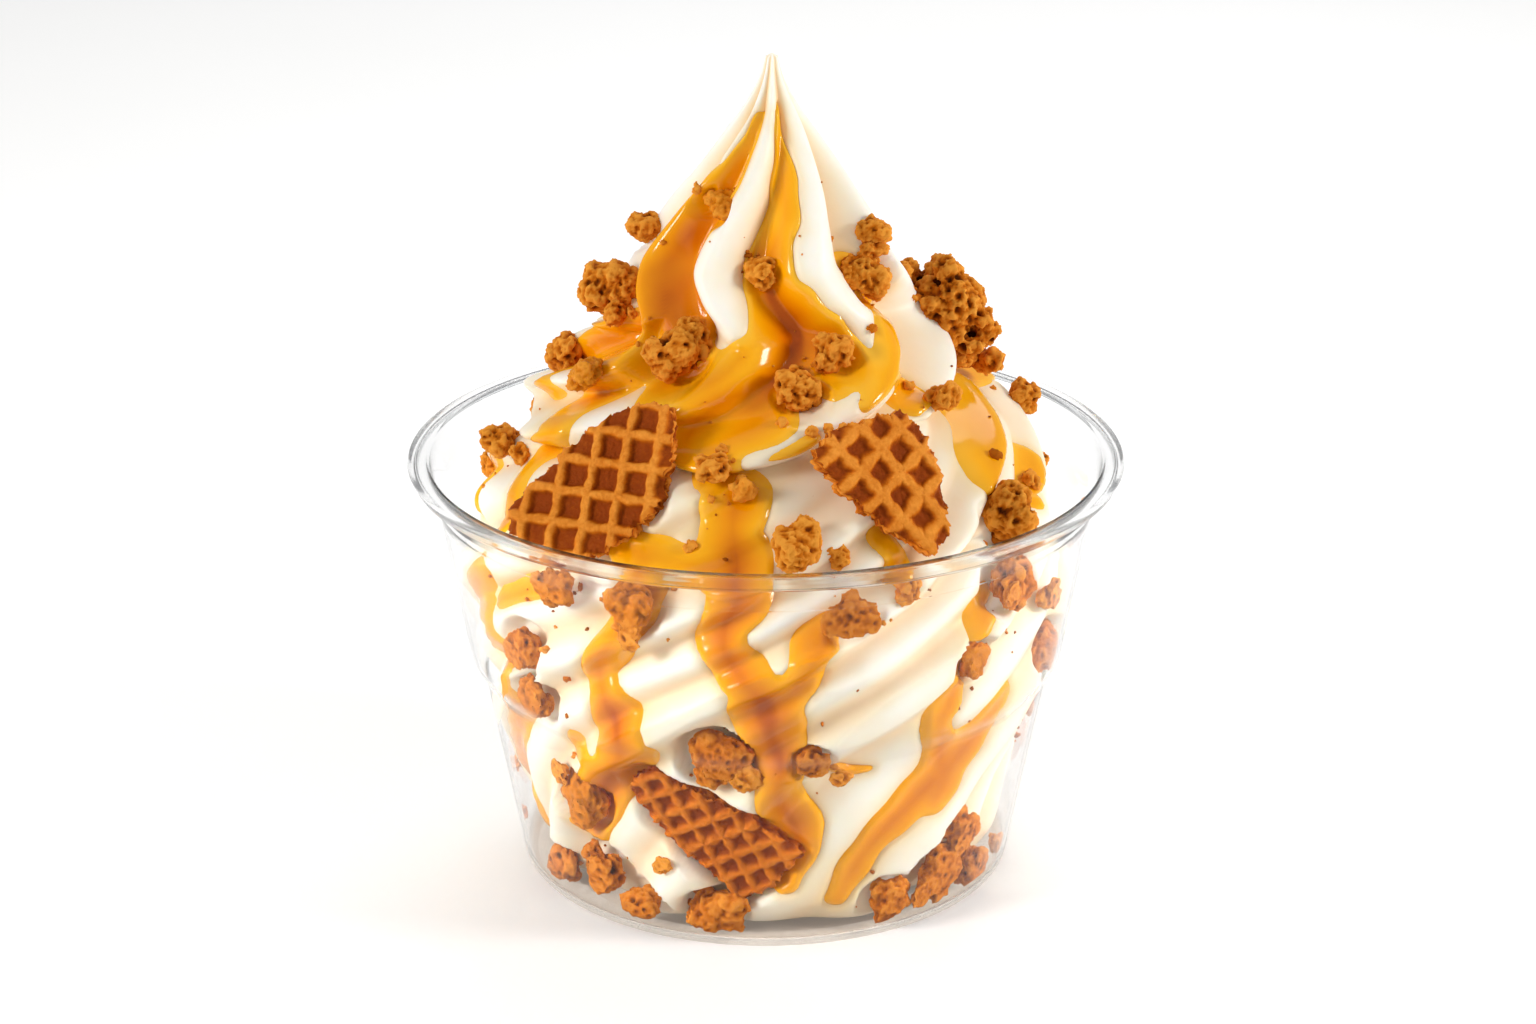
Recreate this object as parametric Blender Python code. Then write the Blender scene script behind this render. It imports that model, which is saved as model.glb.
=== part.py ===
"""Soft serve sundae in a clear plastic cup.

A swirl of soft ice cream with caramel sauce stands in a thin stepped cup.
Waffle pieces and biscuit crumbs lie in it and on it.
Lengths are millimetres and angles are degrees until a mesh is made.
Azimuth 0 is the front (-Y), and +90 is the right side (+X).
"""

import bmesh
import bpy
import numpy as np
from mathutils import Matrix, Vector

MM = 0.001
GAP = 0.3

# Cup: a turned thin wall with one step, a bead under the rim and a turned-down flange.
RIM_RADIUS = 49.0
RIM_HEIGHT = 59.2
MOUTH_RADIUS = 46.1
SKIRT_DEPTH = 1.7
FLANGE_THICKNESS = 0.6
WALL = 0.6
FLOOR = 0.8
BASE_RADIUS = 32.6
BASE_CORNER = 1.6
LOWER_WALL = (34.0, 0.19)
UPPER_WALL = (35.76, 0.1746)
STEP_BOTTOM = 28.0
STEP_TOP = 32.0
BEAD_HEIGHT = 53.4
BEAD_DEPTH = 0.35
CUP_SEGMENTS = 40

# Ice cream: a rope of ridged cream coiled downwards to the left.
TIP_HEIGHT = 114.7
CREAM_BOTTOM = 1.9
COIL_PITCH = 13.6
FIRST_CREASE = 80.6
RIDGES = 8
RIDGE_ANGLE = 360.0 / RIDGES
CREAM_COLUMNS = 64
CREAM_ROWS = 42
END_DROP = 0.6
CREAM_WALL_GAP = 0.5
THINNEST = 0.35

# Radius of the creases between coils, height by height.
CORE = ((1.9, 28.4), (6.0, 31.6), (12.0, 33.2), (19.0, 34.6), (26.0, 36.6), (34.0, 39.8),
        (42.0, 41.0), (48.0, 39.8), (54.0, 36.6), (60.0, 30.6), (64.0, 27.4), (68.0, 23.2),
        (71.0, 20.2), (77.0, 18.0), (81.5, 17.2), (85.0, 15.9), (90.0, 13.4), (95.0, 10.6),
        (100.0, 7.6), (104.0, 5.3), (108.0, 3.0), (112.0, 1.3), (114.7, 0.7))
# How far each coil stands out over its creases.
BULGE = ((0.0, 0.2), (44.0, 0.4), (49.0, 1.0), (53.0, 2.4), (58.0, 4.6), (66.0, 6.6), (73.0, 5.6),
         (77.0, 3.4), (80.0, 1.0), (82.0, 0.0))
# How far the swirl's middle stands right of the cup's axis, and left of it where negative.
LEAN = ((0.0, 0.0), (56.0, 0.0), (64.0, -1.0), (74.0, -0.6), (84.0, 0.0), (114.7, 0.8))
# Depth of the grooves between ridges.
RIDGE_DEPTH = ((0.0, 3.2), (44.0, 3.4), (58.0, 3.6), (66.0, 4.2), (72.0, 5.2), (80.0, 6.2),
               (87.0, 6.4), (93.0, 5.6), (99.0, 3.9), (104.0, 2.4), (108.0, 1.2), (111.0, 0.5),
               (114.7, 0.1))
# How far the ridges have turned round the axis at each height.
TWIST = ((0.0, -210.0), (12.0, -196.0), (25.0, -178.0), (38.0, -152.0), (47.0, -129.0),
         (57.0, -99.0), (66.6, -63.0), (70.6, -43.0), (72.6, -29.0), (75.6, -17.0), (78.0, -9.0),
         (80.0, -7.0), (82.0, -12.0), (85.0, -22.0), (89.0, -30.0), (93.8, -26.0), (98.7, -16.0),
         (103.4, -7.0), (108.0, 3.0), (114.7, 8.0))
# The ridges are unevenly spaced: widest at the front right.
UNEVEN_SHIFT = 7.0
UNEVEN_SWING = 8.0
# Share of the middle groove that splits each ridge in two lower down.
SPLIT = ((0.0, 0.7), (52.0, 0.9), (62.0, 0.6), (70.0, 0.0))
SPLIT_LOSS = 0.6
SPLIT_DEPTH = 0.75
# Roundness of a ridge, and the share of its depth that lies under the mean surface.
RIDGE_ROUND = 0.8
RIDGE_MEAN = 0.55
# Outline of a coil: its powers towards the upper and the lower crease, and its greatest value.
COIL_UPPER = 0.35
COIL_LOWER = 0.22
COIL_PEAK = 0.665
# Slow swelling: size, waves round the axis, turn for each millimetre of height, and start.
SWELLS = ((0.45, 2.0, 0.13, 1.0), (0.35, 3.0, -0.19, 2.1), (0.25, 5.0, 0.31, 0.4))
SWELL_FULL_RADIUS = 20.0

# Sauce: thickness at a stream's middle, depth under the surface beside it, and how full grooves are.
SAUCE_FILM = 0.45
SAUCE_DIP = 0.8
GROOVE_FILL = 0.35
STREAM_EDGE = 1.6
STREAM_WANDER = 0.22
STREAM_WAVE = (0.55, 0.31)
STREAM_LEAST_RADIUS = 4.0
# Sauce streams that the photograph shows: its column and row, and the half width, of each bend.
SEEN_STREAMS = (
    ((757, 118, 0.4), (745, 150, 1.0), (730, 178, 2.3), (714, 205, 3.2), (692, 235, 4.0),
     (672, 262, 4.0), (668, 292, 4.2), (667, 318, 4.2), (663, 340, 3.6)),
    ((645, 325, 2.2), (615, 336, 2.8), (592, 350, 2.4), (566, 366, 2.0), (545, 385, 1.4)),
    ((612, 340, 2.1), (612, 362, 2.6), (600, 385, 2.6), (572, 408, 1.8), (556, 430, 1.8),
     (549, 450, 1.2)),
    ((655, 388, 1.5), (690, 386, 2.3), (722, 376, 2.6), (742, 356, 2.0)),
    ((776, 112, 0.3), (780, 150, 0.8), (783, 185, 1.5), (784, 212, 1.6), (776, 240, 2.0),
     (768, 264, 3.2), (772, 290, 3.8), (782, 313, 4.8), (792, 333, 5.2), (790, 352, 4.6)),
    ((818, 338, 3.4), (835, 352, 3.2), (828, 372, 2.4)),
    ((788, 368, 3.4), (757, 385, 3.6), (725, 400, 3.6), (705, 415, 3.0), (691, 432, 2.4),
     (686, 455, 1.8)),
    ((790, 395, 2.4), (762, 418, 2.4), (735, 433, 2.2), (712, 445, 1.8)),
    ((845, 264, 1.2), (868, 290, 1.8), (883, 318, 2.1), (891, 342, 2.1), (891, 366, 1.8),
     (880, 390, 1.6), (868, 405, 1.0)),
    ((893, 370, 0.4), (904, 390, 1.3), (912, 408, 1.2)),
    ((1004, 368, 1.6), (985, 364, 2.2), (968, 366, 1.8)),
    ((966, 374, 1.3), (975, 390, 1.5), (984, 412, 1.4), (989, 436, 1.7), (991, 462, 1.7),
     (992, 484, 1.6)),
    ((1028, 455, 1.2), (1034, 474, 1.5), (1030, 496, 1.4)),
    ((498, 462, 1.6), (480, 478, 1.8), (474, 500, 1.8)),
    ((532, 466, 1.4), (514, 496, 1.8), (508, 522, 1.8)),
    ((714, 470, 2.6), (733, 488, 2.0), (735, 505, 3.6), (733, 530, 3.2), (735, 555, 3.9),
     (736, 580, 4.2), (738, 600, 3.8), (726, 622, 3.2), (724, 645, 3.3), (735, 665, 3.0),
     (752, 688, 3.4), (767, 710, 4.6), (769, 735, 4.3), (780, 760, 3.8), (777, 785, 3.0),
     (784, 808, 3.4), (797, 830, 3.6), (800, 852, 2.6), (785, 880, 2.2)),
    ((830, 636, 1.8), (812, 660, 2.4), (797, 685, 2.2), (785, 705, 2.0)),
    ((622, 548, 1.6), (650, 556, 1.8), (682, 562, 1.8), (712, 565, 2.0)),
    ((640, 572, 2.0), (640, 600, 2.9), (622, 630, 2.6), (603, 655, 2.2), (600, 672, 2.2),
     (606, 695, 3.0), (618, 718, 3.8), (622, 742, 3.8), (615, 768, 3.2), (600, 795, 3.8),
     (596, 820, 3.2)),
    ((480, 565, 1.7), (484, 595, 1.8), (490, 622, 1.6), (497, 645, 0.8)),
    ((505, 598, 1.2), (525, 592, 1.4), (545, 588, 1.1)),
    ((500, 640, 1.2), (508, 670, 1.4), (516, 700, 1.5), (524, 730, 1.5), (528, 765, 1.5),
     (532, 795, 1.3), (538, 822, 0.8)),
    ((574, 735, 0.9), (582, 748, 0.9), (592, 762, 0.6)),
    ((990, 598, 1.4), (982, 620, 1.2), (968, 660, 1.5), (948, 700, 1.8), (938, 725, 2.2),
     (938, 750, 2.6), (940, 775, 2.6), (932, 800, 2.0)),
    ((1002, 690, 1.2), (990, 708, 1.5), (978, 726, 1.8), (962, 746, 2.3), (945, 768, 2.6)),
    ((930, 780, 2.6), (905, 805, 2.4), (880, 830, 2.1), (862, 852, 1.9), (848, 875, 1.7),
     (836, 897, 1.0)),
    ((833, 766, 0.4), (848, 770, 0.4), (870, 768, 0.3)),
    ((886, 545, 1.3), (895, 560, 1.4), (905, 580, 1.6)),
    ((770, 460, 0.4), (795, 452, 0.6), (815, 440, 1.0)),
)
# Streams on the far side: azimuth, height and half width of each bend.
FAR_STREAMS = (
    ((150, 92, 2.2), (140, 84, 2.8), (150, 76, 2.4), (145, 68, 2.6), (130, 60, 1.8)),
    ((-150, 88, 2.2), (-140, 80, 3.0), (-150, 70, 2.8), (-140, 60, 2.6), (-150, 50, 3.0),
     (-165, 36, 3.2), (-170, 22, 2.2)),
    ((120, 52, 1.8), (110, 42, 2.6), (105, 30, 2.8), (112, 18, 1.8)),
    ((170, 62, 2.0), (160, 50, 2.8), (150, 38, 3.0), (155, 26, 2.6), (145, 14, 1.8)),
)

# Crumbs that the photograph shows: name, the column and row of the middle, and the width.
SEEN_CRUMBS = (
    ("a", 645, 229, 6.0), ("b", 610, 288, 8.3), ("d", 557, 353, 7.4), ("e", 585, 375, 6.0),
    ("f", 720, 204, 5.2), ("g", 682, 350, 9.3), ("h", 761, 269, 5.1), ("i", 832, 354, 6.3),
    ("j", 797, 387, 7.0), ("k", 876, 231, 6.0), ("l", 861, 275, 7.6), ("m", 942, 398, 5.6),
    ("n", 1028, 397, 6.0), ("p", 500, 443, 6.6), ("q", 712, 466, 6.0), ("r", 806, 551, 8.5),
    ("s", 1004, 512, 9.6), ("t", 537, 648, 7.2), ("u", 547, 694, 6.4), ("v", 636, 602, 7.4),
    ("w", 847, 612, 7.2), ("x", 1001, 582, 7.6), ("y", 962, 655, 6.6), ("z", 1027, 650, 7.8),
    ("aa", 720, 755, 8.6), ("bb", 812, 758, 4.8), ("cc", 597, 795, 8.2), ("dd", 570, 862, 6.8),
    ("ee", 612, 862, 7.5), ("ff", 650, 893, 7.0), ("gg", 717, 906, 8.6), ("hh", 949, 828, 6.4),
    ("hi", 966, 864, 6.3), ("ii", 880, 895, 6.4), ("jj", 921, 868, 8.2), ("kk", 906, 588, 4.6),
    ("ll", 571, 578, 5.6), ("mm", 743, 487, 4.4), ("zz", 1018, 695, 5.1),
)
# Crumbs on the far side, in the same mix: name, azimuth, height and width.
FAR_CRUMBS = (
    ("back_a", 160, 90.0, 6.4), ("back_b", -135, 77.0, 7.9), ("back_c", 175, 76.0, 7.0),
    ("back_d", 140, 63.0, 9.0), ("back_e", -165, 60.0, 6.4), ("back_f", -125, 57.0, 7.6),
    ("back_g", 125, 38.0, 7.8), ("back_h", -110, 36.0, 7.0), ("back_i", -150, 22.0, 7.6),
    ("back_j", 108, 12.0, 7.0), ("back_k", 150, 6.0, 7.6), ("back_l", -120, 5.4, 7.0),
)
CRUMB_OUT = 0.20
CRUMB_IN_CUP = 0.40
CRUMB_FINE_FROM = 8.0
CRUMB_CLEARANCE = 0.2
CRUMB_FLOOR_GAP = 0.4
CRUMB_SEED = 11
CRUMB_SWELL = (-0.16, 0.12)
CRUMB_STRETCH = 0.12
NEIGHBOUR_REACH = 2.0
WALL_STEPS = 8
WALL_SHRINK = 0.93
# Hollows round the toppings: how far a crumb's reaches, its slope, and the growth of a pocket.
HOLLOW_SLOPE = 0.45
WAFFLE_HOLLOW = (0.3, 1.8)
FACING_LEAST = 0.2
POCKET_GROWTH = 0.55
POCKET_REACH = 10.0

# A thick porous chunk leaning on the right shoulder.
CHUNK_PLACE = (100.0, 78.0, 25.6)
CHUNK_HALF = (4.8, 5.6, 11.0)
CHUNK_LEAN = 40.0

# Waffle pieces: thickness, share of a cell's pitch that is rib, depth of the cells and slope of their sides.
WAFFLE_THICKNESS = 2.8
WAFFLE_RIB_SHARE = 0.28
WAFFLE_RECESS = 1.0
WAFFLE_SLOPE = 0.2
WAFFLE_REACH = 34.0
# Each piece: azimuth, height and radius of its middle, where its face looks, spin and pitch of its
# grid, and then a crossing of two ribs and the corners, as columns and rows of the photograph.
SEEN_WAFFLES = (
    ("waffle_left", (-38.0, 65.0, 35.5), (-22.0, 28.0), 0.0, 4.2, (593, 461),
     ((650, 399), (668, 402), (672, 442), (657, 505), (630, 536), (590, 558), (548, 560),
      (504, 531), (507, 503), (535, 477), (574, 436), (612, 412))),
    ("waffle_right", (26.0, 65.5, 36.5), (24.0, 26.0), 35.0, 4.1, (861, 471),
     ((813, 457), (826, 434), (862, 419), (904, 408), (922, 424), (938, 456), (949, 492),
      (953, 536), (938, 557), (905, 538), (868, 511), (838, 484))),
    ("waffle_front", (-11.0, 15.5, 31.8), (-11.0, -8.0), 27.0, 3.0, (734, 855),
     ((631, 777), (650, 769), (690, 790), (745, 815), (804, 857), (778, 884), (744, 905),
      (715, 880), (683, 851), (652, 824), (634, 795))),
)
# The piece on the far side has its crossing and its corners in millimetres on its own face.
FAR_WAFFLE = ("waffle_back", (-168.0, 67.0, 35.4), (-168.0, 34.0), 20.0, 4.2, (0.0, 0.0),
              ((9.0, 7.5), (10.0, -2.0), (5.5, -8.0), (-2.0, -9.0), (-9.5, -4.5), (-7.5, 3.0),
               (-1.0, 8.0)))

# Where the photograph was seen from, its size and its focal length in pixels.
VIEW_TARGET = (0.3, 0.0, 49.87)
VIEW_DISTANCE = 520.0
VIEW_ELEVATION = 20.83
VIEW_SIZE = (1536, 1024)
VIEW_FOCUS = 3769.0
VIEW_NEAR = 440.0
VIEW_FAR = 560.0
VIEW_STEP = 0.1


def curve(points, value):
    """Smooth curve through named points that never overshoots them (monotone Hermite)."""
    places, values = np.array(points, float).T
    steps = np.diff(places)
    rises = np.diff(values) / steps
    product = rises[:-1] * rises[1:]
    total = rises[:-1] + rises[1:]
    inner = np.where(product > 0.0, 2.0 * product / np.where(total == 0.0, 1.0, total), 0.0)
    slopes = np.concatenate((rises[:1], inner, rises[-1:]))
    index = np.clip(np.searchsorted(places, value) - 1, 0, len(places) - 2)
    span = steps[index]
    share = np.clip((value - places[index]) / span, 0.0, 1.0)
    square = share * share
    cube = square * share
    return ((2 * cube - 3 * square + 1) * values[index]
            + (cube - 2 * square + share) * span * slopes[index]
            + (3 * square - 2 * cube) * values[index + 1]
            + (cube - square) * span * slopes[index + 1])


def smooth_step(value):
    value = np.clip(value, 0.0, 1.0)
    return value * value * (3.0 - 2.0 * value)


def cup_outside(height):
    """Outer radius of the cup wall at a height."""
    lower = LOWER_WALL[0] + LOWER_WALL[1] * height
    upper = UPPER_WALL[0] + UPPER_WALL[1] * height
    share = smooth_step((height - STEP_BOTTOM) / (STEP_TOP - STEP_BOTTOM))
    return lower + (upper - lower) * share


def contents_limit(height, clearance):
    """Largest radius that the contents may have, free above the mouth."""
    inside = cup_outside(height) - WALL - clearance
    inside = inside - 2.0 * smooth_step((3.0 - height) / 3.0)
    return np.where(height > RIM_HEIGHT + 2.0, 1000.0, inside)


def ridge_profile(place):
    """1 on the ridge's round crown, 0 in the groove, for a place counted in ridges."""
    wave = 0.5 + 0.5 * np.cos(2.0 * np.pi * place)
    return wave ** RIDGE_ROUND


def coil_profile(azimuth, height):
    """Round outline of one coil, 0 at its creases and 1 where it stands out most."""
    phase = (height - FIRST_CREASE) / COIL_PITCH - azimuth / 360.0
    below_top = np.ceil(phase) - phase
    return below_top ** COIL_UPPER * (1.0 - below_top) ** COIL_LOWER / COIL_PEAK


def coil_relief(azimuth, height):
    """How far the coils stand out over the core."""
    return np.clip(curve(BULGE, height), 0.0, None) * coil_profile(azimuth, height)


def unevenness(azimuth, height):
    """Slow irregular swelling of the whole swirl."""
    angle = np.radians(azimuth)
    return sum(size * np.sin(waves * angle + turn * height + start)
               for size, waves, turn, start in SWELLS)


def cream_radius(azimuth, height):
    """Radius of the ice cream before the cup and the toppings hold it back."""
    core = curve(CORE, height)
    depth = curve(RIDGE_DEPTH, height)
    turned = azimuth - curve(TWIST, height)
    place = (turned - UNEVEN_SHIFT + UNEVEN_SWING * np.cos(2.0 * np.radians(turned))) / RIDGE_ANGLE
    split = np.clip(curve(SPLIT, height), 0.0, 1.0)
    ridge = depth * (1.0 - SPLIT_LOSS * split) * (ridge_profile(place) - RIDGE_MEAN)
    middle = depth * split * SPLIT_DEPTH * (ridge_profile(2.0 * place) - RIDGE_MEAN)
    wave = unevenness(azimuth, height) * np.clip(core / SWELL_FULL_RADIUS, 0.0, 1.0)
    return np.maximum(core + coil_relief(azimuth, height) + ridge + middle + wave, THINNEST)


def groove_level(azimuth, height):
    """Radius to which sauce fills the grooves."""
    return curve(CORE, height) + coil_relief(azimuth, height) - GROOVE_FILL * curve(RIDGE_DEPTH, height)


def wetted_level(azimuth, height):
    """Radius of the ice cream, or of the sauce that fills its grooves, held back by the cup wall."""
    level = np.maximum(cream_radius(azimuth, height), groove_level(azimuth, height))
    return np.minimum(level, contents_limit(height, CREAM_WALL_GAP))


def view_ray(column, row):
    """Eye, and direction of sight through a place in the photograph for 1 mm of distance."""
    rise = np.radians(VIEW_ELEVATION)
    forward = np.array((0.0, np.cos(rise), -np.sin(rise)))
    upward = np.array((0.0, np.sin(rise), np.cos(rise)))
    rightward = np.array((1.0, 0.0, 0.0))
    across = (column - 0.5 * VIEW_SIZE[0]) / VIEW_FOCUS
    above = (0.5 * VIEW_SIZE[1] - row) / VIEW_FOCUS
    return np.array(VIEW_TARGET) - VIEW_DISTANCE * forward, forward + across * rightward + above * upward


def seen_place(column, row, surface, *sizes):
    """Azimuth and height where a line of sight first meets a surface, or passes nearest to it."""
    eye, direction = view_ray(column, row)
    points = eye + np.arange(VIEW_NEAR, VIEW_FAR, VIEW_STEP)[:, None] * direction
    points = points[(points[:, 2] > CREAM_BOTTOM) & (points[:, 2] < TIP_HEIGHT)]
    height = points[:, 2]
    across = points[:, 0] - swirl_lean(height)
    azimuth = np.degrees(np.arctan2(across, -points[:, 1]))
    outside = np.hypot(across, points[:, 1]) - surface(azimuth, height, *sizes)
    met = np.flatnonzero(outside <= 0.0)
    nearest = met[0] if len(met) else np.argmin(outside)
    return float(azimuth[nearest]), float(height[nearest])


def stream_bends():
    """Azimuth, height and half width of each bend of every stream."""
    seen = [[(*seen_place(column, row, wetted_level), half) for column, row, half in bends]
            for bends in SEEN_STREAMS]
    return seen + list(FAR_STREAMS)


def stream_mask(azimuth, height, radius):
    """1 along the middle of the sauce streams, falling to 0 at their edges."""
    mask = np.zeros(np.broadcast(azimuth, height).shape)
    wander = 1.0 + STREAM_WANDER * np.sin(STREAM_WAVE[0] * height + STREAM_WAVE[1] * azimuth)
    for bends in STREAMS:
        for start, end in zip(bends, bends[1:]):
            turn = (azimuth - start[0] + 180.0) % 360.0 - 180.0
            across = np.radians(turn) * radius
            down = height - start[1]
            run = np.radians(end[0] - start[0]) * radius
            drop = end[1] - start[1]
            share = np.clip((across * run + down * drop) / (run * run + drop * drop), 0.0, 1.0)
            distance = np.hypot(across - share * run, down - share * drop)
            half_width = start[2] + share * (end[2] - start[2])
            mask = np.maximum(mask, smooth_step(STREAM_EDGE - distance / (half_width * wander)))
    return mask


def sauced_radius(azimuth, height):
    """Radius of the ice cream with the sauce lying in its grooves."""
    cream = cream_radius(azimuth, height)
    core = curve(CORE, height)
    filled = np.maximum(cream + SAUCE_FILM, groove_level(azimuth, height))
    mask = stream_mask(azimuth, height, np.maximum(core, STREAM_LEAST_RADIUS))
    sauce = cream - SAUCE_DIP + (filled - cream + SAUCE_DIP) * mask
    return np.maximum(cream, sauce)


def swirl_lean(height):
    return curve(LEAN, height)


def swirl_point(azimuth, height, radius):
    """Position in millimetres of a place on the swirl, which leans left at its shoulder."""
    angle = np.radians(azimuth)
    across = radius * np.sin(angle) + swirl_lean(height)
    return np.stack(np.broadcast_arrays(across, -radius * np.cos(angle), height), -1)


def bare_radius(azimuth, height, clearance):
    """Radius of the sauced swirl, held back by the cup wall only."""
    return np.minimum(sauced_radius(azimuth, height), contents_limit(height, clearance))


def crumb_radius(azimuth, height, width):
    """Distance of a crumb's centre from the axis: partly sunk, and inside the cup wall."""
    out = bare_radius(azimuth, height, CREAM_WALL_GAP) + CRUMB_OUT * width
    inside = contents_limit(height, CREAM_WALL_GAP) - CRUMB_IN_CUP * width
    return np.where(height < RIM_HEIGHT, np.minimum(out, inside), out)


def crumb_places():
    """Name, azimuth, height, distance from the axis and width of every crumb."""
    places = [(name, *seen_place(column, row, crumb_radius, width), width)
              for name, column, row, width in SEEN_CRUMBS]
    places += FAR_CRUMBS
    return [(name, azimuth, height, float(crumb_radius(azimuth, height, width)), width)
            for name, azimuth, height, width in places]


def press_crumbs(azimuth, height, radius):
    """Hollow the surface round every crumb, so that no cream lies over it."""
    for _, place, crumb_height, centre, width in CRUMBS:
        turn = (azimuth - place + 180.0) % 360.0 - 180.0
        away = np.hypot(np.radians(turn) * centre, height - crumb_height) / (0.5 * width)
        keep = smooth_step((away - 1.0) / HOLLOW_SLOPE)
        radius = np.where(radius > centre, centre + (radius - centre) * keep, radius)
    return radius


def outline_distance(across, along, outline):
    """Distance to a closed outline, negative inside it."""
    distance = np.full(np.shape(across), 1e9)
    inside = np.zeros(np.shape(across), bool)
    for (x0, y0), (x1, y1) in zip(outline, outline[1:] + outline[:1]):
        run = x1 - x0
        rise = y1 - y0
        share = np.clip(((across - x0) * run + (along - y0) * rise) / (run * run + rise * rise), 0.0, 1.0)
        distance = np.minimum(distance, np.hypot(across - x0 - share * run, along - y0 - share * rise))
        crosses = (y0 > along) != (y1 > along)
        slope = run / rise if rise else 0.0
        inside ^= crosses & (across < x0 + slope * (along - y0))
    return np.where(inside, -distance, distance)


def waffle_frame(place, look):
    """Centre and the right, up and outward directions of a waffle piece."""
    centre = swirl_point(place[0], place[1], place[2])
    azimuth, rise = np.radians(look)
    outward = np.array((np.sin(azimuth) * np.cos(rise), -np.cos(azimuth) * np.cos(rise), np.sin(rise)))
    right = np.array((np.cos(azimuth), np.sin(azimuth), 0.0))
    return centre, right, np.cross(outward, right), outward


def seen_outline(place, look, corners):
    """Corners seen in the photograph, in millimetres on the face of a waffle piece."""
    centre, right, up, outward = waffle_frame(place, look)
    outline = []
    for column, row in corners:
        eye, direction = view_ray(column, row)
        distance = ((centre - eye) @ outward + 0.5 * WAFFLE_THICKNESS) / (direction @ outward)
        offset = eye + distance * direction - centre
        outline.append((float(offset @ right), float(offset @ up)))
    return outline


def waffle_pieces():
    """Every waffle piece, with its crossing and its corners in millimetres on its face."""
    seen = []
    for name, place, look, spin, pitch, crossing, corners in SEEN_WAFFLES:
        middle, *outline = seen_outline(place, look, (crossing, *corners))
        seen.append((name, place, look, spin, pitch, middle, outline))
    return seen + [(*FAR_WAFFLE[:-1], list(FAR_WAFFLE[-1]))]


def press_waffles(azimuth, height, radius):
    """Keep the surface behind every waffle piece that lies on it."""
    angle = np.radians(azimuth)
    for _, place, look, _, _, _, outline in WAFFLES:
        centre, right, up, outward = waffle_frame(place, look)
        back = centre - 0.5 * WAFFLE_THICKNESS * outward
        facing = np.sin(angle) * outward[0] - np.cos(angle) * outward[1]
        safe = np.where(facing > FACING_LEAST, facing, 1.0)
        behind = (back @ outward - height * outward[2] - swirl_lean(height) * outward[0]) / safe
        offset = swirl_point(azimuth, height, behind) - centre
        distance = outline_distance(offset @ right, offset @ up, outline)
        keep = smooth_step((distance - WAFFLE_HOLLOW[0]) / WAFFLE_HOLLOW[1])
        pressed = behind + (radius - behind) * keep
        covered = (facing > FACING_LEAST) & (radius > behind) & (behind > 0.0)
        radius = np.where(covered, pressed, radius)
    return radius


def surface_radius(azimuth, height, clearance):
    """Radius of the finished swirl, with room for its toppings."""
    radius = bare_radius(azimuth, height, clearance)
    return press_waffles(azimuth, height, press_crumbs(azimuth, height, radius))


STREAMS = stream_bends()
CRUMBS = crumb_places()
WAFFLES = waffle_pieces()


def clear_scene():
    for item in list(bpy.data.objects):
        bpy.data.objects.remove(item, do_unlink=True)


def make_material(name, colour, roughness, transmission=0.0):
    material = bpy.data.materials.new(name)
    material.use_nodes = True
    shader = material.node_tree.nodes["Principled BSDF"]
    shader.inputs["Base Color"].default_value = (*colour, 1.0)
    shader.inputs["Roughness"].default_value = roughness
    shader.inputs["Transmission Weight"].default_value = transmission
    return material


def add_object(name, vertices, faces, material, smooth=True):
    """Object from millimetre points, with its faces turned outwards."""
    mesh = bpy.data.meshes.new(name)
    mesh.from_pydata([Vector(point) * MM for point in vertices], [], faces)
    work = bmesh.new()
    work.from_mesh(mesh)
    bmesh.ops.recalc_face_normals(work, faces=work.faces)
    work.to_mesh(mesh)
    work.free()
    mesh.materials.append(material)
    if smooth:
        mesh.shade_smooth()
        mesh.set_sharp_from_angle(angle=np.radians(40.0))
    item = bpy.data.objects.new(name, mesh)
    bpy.context.scene.collection.objects.link(item)
    return item


def turned_mesh(profile, segments):
    """Closed turned surface; the profile starts and ends on the axis."""
    rings = profile[1:-1]
    vertices = [(0.0, 0.0, profile[0][1])]
    for radius, height in rings:
        for step in range(segments):
            angle = 2.0 * np.pi * step / segments
            vertices.append((radius * np.cos(angle), radius * np.sin(angle), height))
    vertices.append((0.0, 0.0, profile[-1][1]))
    last = len(vertices) - 1
    faces = []
    for step in range(segments):
        after = (step + 1) % segments
        faces.append((0, 1 + after, 1 + step))
        faces.append((last, last - segments + step, last - segments + after))
        for ring in range(len(rings) - 1):
            low = 1 + ring * segments
            high = low + segments
            faces.append((low + step, low + after, high + after, high + step))
    return vertices, faces


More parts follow.
